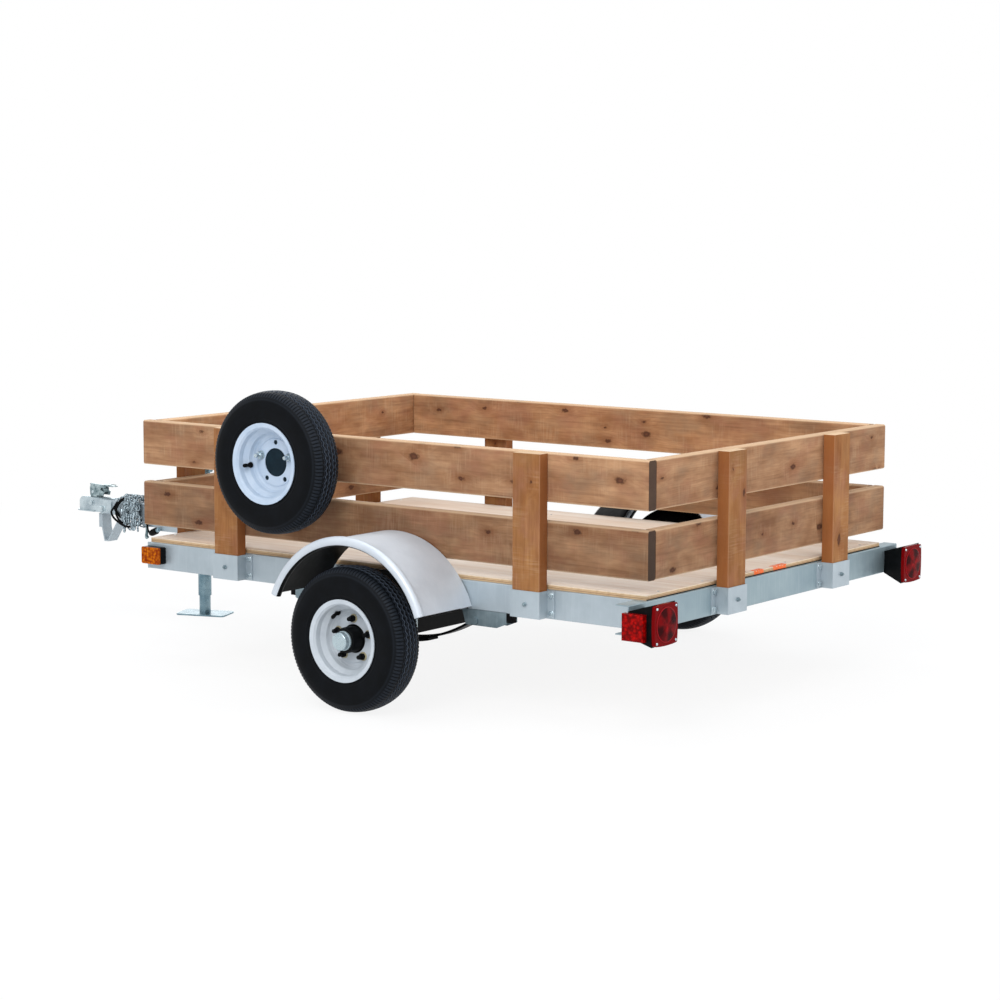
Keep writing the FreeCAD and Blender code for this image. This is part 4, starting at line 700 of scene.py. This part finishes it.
def tyre(name, centre, out, body, node):
    """Tyre: a section of (radius, offset) turned about the axle, cut by grooves and slots.

    The tread loses depth where the offset is near one of four zigzag lines, and each shoulder where the angle
    falls in one of its slots; the inside is closed behind the beads. The painted highlight is 1 on the tread
    beside a groove, and less on the shoulder's ribs and on a ring of the wall.
    """
    steps, pitches, slots = 720, 72, 120
    side = curve([(117.6, 51.4), (126, 54.0), (128, 55.0), (131, 54.9), (140, 55.5), (156, 56), (166, 55.4),
                  (173, 54.2), (177, 53.4), (181.5, 51.6), (189, 47.4), (195.5, 42), (199.2, 35.8),
                  (TYRE_RADIUS - TREAD_CROWN, TREAD_HALF)], 3)
    half = np.vstack([[(101.9, 0), (101.9, 36), (101.9, 45), (106.9, 49.3)], side])
    across = np.linspace(TREAD_HALF, -TREAD_HALF, 51)[1:-1]
    tread = np.stack([TYRE_RADIUS - TREAD_CROWN * (across / TREAD_HALF) ** 2, across], -1)
    section = np.vstack([half, tread, half[::-1] * (1, -1)])[:-1]
    angle = np.linspace(0, 2 * np.pi, steps, endpoint=False)[:, None]
    r, y = section[None, :, 0], section[None, :, 1]
    zigzag = ZIGZAG * (4 * np.abs(angle * pitches / (2 * np.pi) % 1 - 0.5) - 1)
    top = (r > TYRE_RADIUS - TREAD_CROWN - 1) + 0 * angle
    cut, painted_highlight = 0.0, 0.0
    for k, line in enumerate(GROOVE_LINES):
        away = np.abs(y - line - zigzag * (-1) ** k)
        cut = np.maximum(cut, np.clip(GROOVE_HALF - away, 0, 1) * top)
        painted_highlight = np.maximum(painted_highlight, np.clip(1 - np.abs(away - GROOVE_HALF - 0.6) / 1.3, 0, 1) * top)
    shoulder = np.clip((r - SHOULDER_RADIUS) / 4, 0, 1) * np.clip((np.abs(y) - TREAD_HALF - 0.5) / 3, 0, 1)
    slot = np.clip(3 * np.sin(angle * slots), 0, 1) * shoulder
    r = r - GROOVE_DEPTH * cut - slot
    y = y - SHOULDER_SLOT_DEPTH * slot * np.sign(y)
    # Painted highlight on the shoulder's ribs and on a ring of the wall
    rib = 0.15 * shoulder * (1 - slot) + 0.08 * np.clip(1 - np.abs(r - WALL_RIB_RADIUS) / 4, 0, 1)
    grid = np.stack([r * np.cos(angle), out * y + 0 * angle, r * np.sin(angle)], -1) * MM + centre
    marks = {"painted_highlight": ("FLOAT", [np.maximum(painted_highlight * (1 - cut), rib)]), "groove": ("FLOAT", [cut + 0 * painted_highlight])}
    piece(name, [(grid, True, True)], TYRE_RUBBER, body, (node,), sharp=38.0, attributes=marks)


def bolt_places(centre, out, offset_mm):
    """Wheel bolt centres at an offset from the disc, the first straight up."""
    places = [(BOLT_RADIUS * np.cos(a), out * offset_mm, BOLT_RADIUS * np.sin(a)) for a in BOLT_ANGLES]
    return [centre + np.array(place) * MM for place in places]


def hub(side, centre, out):
    """Hub on its spindle: black barrel and flange, pressed cap, dark studs and nuts on brassy seats."""
    body, node, axis = "wheel_" + side, "hub_" + side, (0, out, 0)
    barrel = [(13, -45.5), (33, -45.5), (36, -43), (36, -9.5), (64, -9.5), (66, -8), (66, -1.5), (38, -1.5),
              (36, 0.5), (36, 38), (34.6, 41), (34.6, 43.4), (34, 44)]
    piece(node + "_barrel", [stand(barrel, centre, axis, 72)], BLACK_STEEL, body, (node,))
    bend = [(22 + 3 * np.cos(a), 63.5 + 3 * np.sin(a)) for a in np.linspace(0, np.pi / 2, 6)]
    cap = [(27, 43.5), (27.4, 44.5), (27.4, 48), (26.8, 49.2), (25.4, 49.8), (25, 51), *bend]
    piece(node + "_cap", [stand(cap, centre, axis, 72)], CAP_ZINC, body)
    seats = [stand([(12.5, 0), (12.5, 1.6), (10.2, 2.6)], spot, axis, 24)
             for spot in bolt_places(centre, out, 1.4)]
    piece(node + "_seats", seats, YELLOW_ZINC, body)
    nuts = [nut(spot, axis, 17.0, 12.0, 0.3 * k) for k, spot in enumerate(bolt_places(centre, out, 2.5))]
    studs = [stand([(6, 0), (6, 10.5), (5, 12)], spot, axis, 16) for spot in bolt_places(centre, out, 14.0)]
    piece(node + "_studs", nuts + studs, BLACK_STEEL, body)


def valve(name, centre, out, degrees, tilt, body):
    """Rubber valve stem with its cap, standing on the rim's bowl and tilted towards the axle."""
    a = np.radians(degrees)
    radius, rise = 85, 13
    foot = centre + np.array([radius * np.cos(a), out * rise, radius * np.sin(a)]) * MM
    lean = (-tilt * np.cos(a), out, -tilt * np.sin(a))
    stem = [(8.6, 0), (8.6, 3.5), (6.2, 7), (4.8, 14), (4.6, 22)]
    cap = [(5.6, 22.5), (5.6, 32), (4.8, 33.5), (0, 34)]
    piece(name, [stand(stem + cap, foot, lean, 16)], BLACK_RUBBER, body)


def wheels():
    """Both road wheels, and the spare with its two bolts and a dark plate behind its middle hole, as painted
    shade.
    """
    for side, out in (("left", 1), ("right", -1)):
        centre = middle("tyre_" + side)
        tyre("tread_" + side, centre, out, "wheel_" + side, "tyre_" + side)
        hub(side, centre, out)
        valve("valve_" + side, centre, out, 56, 0.38, "wheel_" + side)
    centre = middle("spare_tyre")
    tyre("tread_spare", centre, 1, "root", "spare_tyre")
    valve("valve_spare", centre, 1, -8, 0.12, "root")
    held, outwards = [bolt_places(centre, 1, 1.5)[k] for k in (1, -1)], (0, 1, 0)
    washers = [stand([(13, 0), (13, 2)], spot, outwards, 24) for spot in held]
    heads = [nut(spot, outwards, 20.5, 12.5, 0.2) for spot in held]
    ends = [stand([(6.3, 0), (6.3, 24.5), (5, 26.5)], spot, outwards, 16) for spot in held]
    piece("spare_nuts", washers + heads + ends, ZINC)
    # Painted shade: a dark disc in the spare's middle hole
    plate = stand([(69, -0.6), (69.3, -0.9), (69, -1.2)], centre, outwards, 64)
    piece("spare_shade_plate", [plate], SHADE_PLATE)


# Fasteners

def pocket_bolts():
    """Two bolts in each flange of each stake pocket, a nut on a stud at the middle of its front."""
    inset, flange, heights = 11 * MM, 3 * MM, (0.17, 0.83)
    heads, nuts = [], []
    for low, high in solids_of("stake_pockets"):
        centre, size = (low + high) / 2, high - low
        long, deep = (0, 1) if size[0] > size[1] else (1, 0)
        out = np.zeros(3)
        out[deep] = np.sign(centre[deep] - (0.0 if deep else (REAR_X + FRONT_X) / 2))
        back = low[deep] if out[deep] > 0 else high[deep]
        front = high[deep] if out[deep] > 0 else low[deep]
        for sign in (-1, 1):
            for share in heights:
                spot = centre.copy()
                spot[long] += sign * (size[long] / 2 - inset)
                spot[deep] = back + out[deep] * flange
                spot[2] = low[2] + share * size[2]
                heads.append(nut(spot, out, 13.0, 5.5, rng.uniform(0, 1)))
                heads.append(button(spot, out, 17.0, 1.6))
        spot = centre.copy()
        spot[deep] = front
        nuts.append(nut(spot, out, 11.0, 5.0, rng.uniform(0, 1)))
        nuts.append(stand([(3.4, 0), (3.4, 8), (2.6, 9)], spot, out, 12))
    piece("pocket_bolts", heads, ZINC)
    piece("pocket_nuts", nuts, HANGER_STEEL)


def lamp_screws():
    """Four screws in the corners of each tail lens."""
    seat, aside, above = 5 * MM, 45 * MM, 45.5 * MM
    screws = []
    for low, high in solids_of("tail_lamp_lenses"):
        centre = (low + high) / 2
        spots = [(low[0] + seat, centre[1] + sy * aside, centre[2] + sz * above)
                 for sy in (-1, 1) for sz in (-1, 1)]
        screws += [button(spot, (-1, 0, 0), 7.5, 3.0) for spot in spots]
    piece("lamp_screws", screws, ZINC)


def coupler_bolts():
    """Bolts with their washers through the coupler and the tongue, and the heads of the latch's pivot."""
    low, high = span("coupler")
    latch_low, latch_high = span("coupler_latch")
    cheek, pin = 30 * MM, 17 * MM
    made = []
    for out in (-1, 1):
        for back, rise, flats in ((83, 30, 15.0), (132, 12, 21.0)):
            spot = (high[0] - back * MM, out * cheek, low[2] + rise * MM)
            made.append(nut(spot, (0, out, 0), flats, flats * 0.5, 0.2))
            made.append(button(spot, (0, out, 0), flats * 1.5, 1.6))
        pivot = (latch_high[0] - 14 * MM, out * pin, latch_low[2] + 16 * MM)
        made.append(button(pivot, (0, out, 0), 11.0, 3.0))
    piece("coupler_bolts", made, ZINC)


def latch_lever():
    """Folded sides of the latch's lever, which taper to its thumb end, and the cam between them."""
    low, high = span("coupler_latch")
    length, root, tip, wall, top = 102 * MM, 17 * MM, 5 * MM, 1.2 * MM, 2.4 * MM
    thumb_end, half_width, narrowing = low[0] + 10 * MM, 15 * MM, 5 * MM
    t = np.linspace(0, 1, 12)[:, None]
    full = (t > 0) * (t < 1)
    depth = (root + (tip - root) * t) * np.array([0, 0, 1, 1])
    x = thumb_end + length * (1 - t) + 0 * depth
    aside = half_width - narrowing * t + wall * np.array([-1, 1, 1, -1]) * full
    flanges = [(np.stack([x, out * aside, high[2] - top - depth * full], -1), False, True) for out in (-1, 1)]
    piece("lever_flanges", flanges, LATCH_ZINC)
    cam, cam_place = [(12, 0), (13, 1), (13, 21), (12, 22)], (high[0] - 53 * MM, -11 * MM, high[2] - 19 * MM)
    piece("latch_cam", [stand(cam, cam_place, (0, 1, 0), 8)], LATCH_ZINC)


def deck_screws():
    """Countersunk screws that hold the plywood to the rails and cross members."""
    low, high = span("deck")
    edge, reach, columns = 20 * MM, 550 * MM, 6
    lines = [low[0] + edge, high[0] - edge] + [(a[0] + b[0]) / 2 for a, b in solids_of("cross_members")]
    made = [button((x, y, high[2]), (0, 0, 1), 9.0, 0.8, 12)
            for x in lines for y in np.linspace(-reach, reach, columns)]
    piece("deck_screws", made, ZINC)


def deck_shadow_strip():
    """Round black strip between the plywood and the rear rail, a painted shadow under the deck's edge: a
    circle carried across the deck's rear.
    """
    low, high = span("deck")
    wide, tall = 1.4 * MM, 1.3 * MM
    angle = np.linspace(0, 2 * np.pi, 8, endpoint=False)[None, :]
    reach = np.array([0.0, 1, 1, 0])[:, None]
    y = np.array([low[1], low[1], high[1], high[1]])[:, None]
    seal = np.stack([low[0] + wide * reach * np.cos(angle), y + 0 * angle,
                     RAIL_TOP + tall * (1 + reach * np.sin(angle))], -1)
    piece("deck_shadow_strip", [(seal, False, True)], BLACK_RUBBER)


# Chain, cable and plug at the tongue

TUBE_LOW, TUBE_HIGH = span("tongue_tube")
TUBE_MIDDLE_Z = (TUBE_LOW[2] + TUBE_HIGH[2]) / 2


def tube_along(path, radius_mm, sides=12):
    """Round section carried along rows of points, closed at both ends by rows shrunk to a point."""
    ahead = np.gradient(path, axis=0)
    ahead /= np.linalg.norm(ahead, axis=1)[:, None]
    aside = np.cross(ahead, np.roll(np.eye(3)[np.abs(ahead).mean(0).argmin()], 0))
    aside /= np.linalg.norm(aside, axis=1)[:, None]
    above = np.cross(ahead, aside)
    a = np.linspace(0, 2 * np.pi, sides, endpoint=False)[None, :, None]
    ring = path[:, None] + radius_mm * MM * (np.cos(a) * aside[:, None] + np.sin(a) * above[:, None])
    ends = [np.repeat(path[k][None, None], sides, 1) for k in (0, -1)]
    return np.concatenate([ends[0], ring, ends[1]]), False, True


def links(path, pitch_mm, width_mm, wire_mm, roll):
    """Chain links one pitch apart along rows of points, each a round wire bent to a stadium, turned by roll.

    The wire's centre runs round two half circles joined by straight sides; each link's plane holds the
    route's direction and turns a quarter about it from one link to the next, loose by some radians.
    """
    slack_mm, loose, off_route = 0.6, 0.35, (0.31, 0.9, 0.27)
    step = np.linalg.norm(np.diff(path, axis=0), axis=1)
    gone = np.concatenate([[0], np.cumsum(step)])
    count = int(gone[-1] / (pitch_mm * MM))
    stations = (np.arange(count) + 0.5) * pitch_mm * MM
    here = np.stack([np.interp(stations, gone, path[:, k]) for k in range(3)], -1)
    ahead = np.stack([np.interp(stations + 2 * MM, gone, path[:, k]) for k in range(3)], -1) - here
    ahead /= np.linalg.norm(ahead, axis=1)[:, None]
    aside = np.cross(ahead, off_route)
    aside /= np.linalg.norm(aside, axis=1)[:, None]
    above = np.cross(ahead, aside)
    turn = roll + np.arange(count) * np.pi / 2 + rng.uniform(-loose, loose, count)
    across = np.cos(turn)[:, None] * aside + np.sin(turn)[:, None] * above
    normal = np.cross(ahead, across)
    a = np.linspace(0, 2 * np.pi, 20, endpoint=False)
    bow = (width_mm - wire_mm) / 2
    straight = (pitch_mm + wire_mm) / 2 + slack_mm - bow
    centre = np.stack([bow * np.cos(a) + np.sign(np.cos(a)) * straight, bow * np.sin(a)], -1)
    out = np.stack([np.cos(a), np.sin(a)], -1)
    b = np.linspace(0, 2 * np.pi, 8, endpoint=False)[None, :, None]
    flat = centre[:, None] + wire_mm / 2 * np.cos(b) * out[:, None]
    lift = wire_mm / 2 * np.sin(b) + 0 * flat[..., :1]
    grids = []
    for k in range(count):
        grid = flat[..., :1] * ahead[k] + flat[..., 1:] * across[k] + lift * normal[k]
        grids.append((here[k] + grid * MM, True, True))
    return grids


def chain_loose_end():
    """Loose end of the safety chain: four and a half waves up and down that run back over its turns."""
    low, high = span("safety_chain")
    front, length = high[0] - 58 * MM, high[0] - low[0] - 44 * MM
    t = np.linspace(0, 1, 400)
    waves = np.cos(9 * np.pi * t)
    aside_mm = 32 + 4 * np.sin(11 * t) - 3.5 * waves
    rise_mm = (46 + 9 * np.sin(7 * t + 1)) * waves - 8
    path = np.stack([front - length * t + 5 * MM * np.sin(9 * t), TUBE_HIGH[1] + aside_mm * MM,
                     TUBE_MIDDLE_Z + rise_mm * MM], -1)
    piece("chain_loose_end", links(path, 23.0, 20.0, 6.0, 0.6), CHAIN_ZINC_PAINTED_LIGHT, sharp=60.0)


def cable_turns():
    """Two more turns of the lamp cable over the chain, by points from the nose and the tube's middle."""
    long = [(-256, 40, 44), (-260, 60, 37), (-246, 75, 20), (-231, 79, 2), (-226, 79, -8), (-236, 79, -24),
            (-257, 79, -37), (-278, 77, -47), (-298, 68, -52), (-315, 56, -47), (-328, 46, -40)]
    short = [(-262, 58, 38), (-256, 72, 24), (-250, 78, 6), (-249, 79, -12), (-259, 77, -30), (-271, 68, -43),
             (-279, 56, -48)]
    for k, route in enumerate((long, short)):
        path = curve(np.array(route) * MM + (NOSE_X, 0.0, TUBE_MIDDLE_Z), 8)
        piece("cable_turn_%d" % (k + 1), [tube_along(path, 3.6)], BLACK_RUBBER)


def hook_and_plug():
    """The chain's hook under the tube, and the lamp plug that hangs beside it on its lead."""
    shank = np.array([(0, 0, 0), (0, 0, -20), (0, 1, -42), (2, 2, -56), (-1, 4, -62), (-7, 5, -58)]) * MM
    hang = (NOSE_X - 349 * MM, 34 * MM, TUBE_LOW[2])
    piece("chain_hook", [tube_along(curve(shank + hang, 6), 5.2)], LATCH_ZINC)
    plug = np.array([NOSE_X - 370 * MM, 38 * MM, TUBE_LOW[2] - 46 * MM])
    drop = np.array([(14, 0, 46), (15, 2, 28), (10, 2, 8), (0, 0, 0)]) * MM
    piece("plug_lead", [tube_along(curve(drop + plug, 6), 3.4)], BLACK_RUBBER)
    ahead, length = np.array([-0.92, 0.05, 0.38]), 32
    body = [(6, -4), (10, 2), (11.5, 10), (11.5, length - 2), (10, length)]
    piece("plug_body", [stand(body, plug, ahead, 20)], BLACK_PLASTIC)
    tip = plug + ahead / np.linalg.norm(ahead) * length * MM
    collar = [(7.5, 0), (7.5, 10), (6, 12)]
    piece("plug_collar", [stand(collar, tip, ahead, 20)], BLUE_ZINC)


# Camera, light and floor

CAMERA_OFFSET = (-3.6709, 5.5776, 1.1007)
CAMERA_YAW, CAMERA_PITCH, CAMERA_ROLL = -0.930658, -0.124465, 0.003355
FOCAL_PIXELS, IMAGE_PIXELS = 2576.96, 1000
SENSOR_MM = 36.0
LAMPS_AIM = Vector((0.0, 0.0, 0.4))


def camera():
    """Camera placed from the bed's rear left corner, at the turn that the object's straight edges give."""
    quarter = np.pi / 2
    aim = Matrix.Rotation(CAMERA_YAW - quarter, 4, "Z") @ Matrix.Rotation(CAMERA_PITCH + quarter, 4, "X")
    data = bpy.data.cameras.new("camera")
    data.sensor_width = SENSOR_MM
    data.lens = FOCAL_PIXELS / IMAGE_PIXELS * SENSOR_MM
    data.clip_end = 100.0
    made = placed("camera", data)
    place = np.array([REAR_X, HALF_WIDTH, RAIL_TOP]) + CAMERA_OFFSET
    made.matrix_world = Matrix.Translation(place) @ aim @ Matrix.Rotation(CAMERA_ROLL, 4, "Z")
    bpy.context.scene.camera = made


def lamp(name, place, size, power):
    """Square soft light that looks at the middle of the object."""
    data = bpy.data.lights.new(name, "AREA")
    data.size, data.energy = size, power
    made = placed(name, data)
    made.location = place
    made.rotation_euler = (LAMPS_AIM - Vector(place)).to_track_quat("-Z", "Y").to_euler()


def seen_white(tree):
    """1 for rays from the camera, from gloss and through glass, which see the white surroundings."""
    path = add(tree, "LightPath").node.outputs
    gloss = add(tree, "Math", {0: path["Is Glossy Ray"], 1: path["Is Transmission Ray"]}, operation="MAXIMUM")
    return add(tree, "Math", {0: path["Is Camera Ray"], 1: gloss}, operation="MAXIMUM")


def studio():
    """Pale floor that fades into white surroundings, and soft lamps from the left, above and behind."""
    scene = bpy.context.scene
    scene.view_settings.view_transform = "Standard"
    scene.world = bpy.data.worlds.new("studio")
    scene.world.use_nodes = True
    tree = scene.world.node_tree
    tree.nodes.clear()
    soft = add(tree, "Background", {"Color": "f2f7ff", "Strength": 0.62})
    white = add(tree, "Background", {"Color": "ffffff", "Strength": 1.0})
    both = add(tree, "MixShader", {0: seen_white(tree), 1: soft, 2: white})
    add(tree, "OutputWorld", {"Surface": both}, output=None)
    lamp("key", (-3.0, 6.5, 5.5), 4.0, 395)
    lamp("top", (0.5, 0.5, 6.5), 5.0, 160)
    lamp("side", (5.5, -5.0, 3.5), 4.0, 110)
    lamp("back", (-6.5, -2.5, 3.0), 4.0, 130)

    floor, tree, shader, where = material("pale_floor", Roughness=0.95)
    shader.inputs["Base Color"].default_value = linear("f4f4f4")
    away = add(tree, "VectorMath", {0: where}, "Value", operation="LENGTH")
    near, far, least = 1.6, 4.0, 0.88
    share = add(tree, "MapRange", {"Value": away, "From Min": near, "From Max": far, "To Min": least})
    seen = add(tree, "Math", {0: seen_white(tree), 1: share}, operation="MULTIPLY")
    glow = add(tree, "Emission", {"Color": "ffffff", "Strength": 1.0})
    both = add(tree, "MixShader", {0: seen, 1: shader.outputs[0], 2: glow})
    tree.links.new(both, tree.nodes["Material Output"].inputs["Surface"])
    reach = 60.0
    corners = [(sx * reach, sy * reach, 0) for sx, sy in ((-1, -1), (1, -1), (1, 1), (-1, 1))]
    mesh = bpy.data.meshes.new("floor")
    mesh.from_pydata(corners, [], [(0, 1, 2, 3)])
    mesh.materials.append(floor)
    placed("floor", mesh)


finish_frame_nodes()
sides()
wheels()
pocket_bolts()
lamp_screws()
coupler_bolts()
latch_lever()
deck_screws()
deck_shadow_strip()
chain_loose_end()
cable_turns()
hook_and_plug()
camera()
studio()
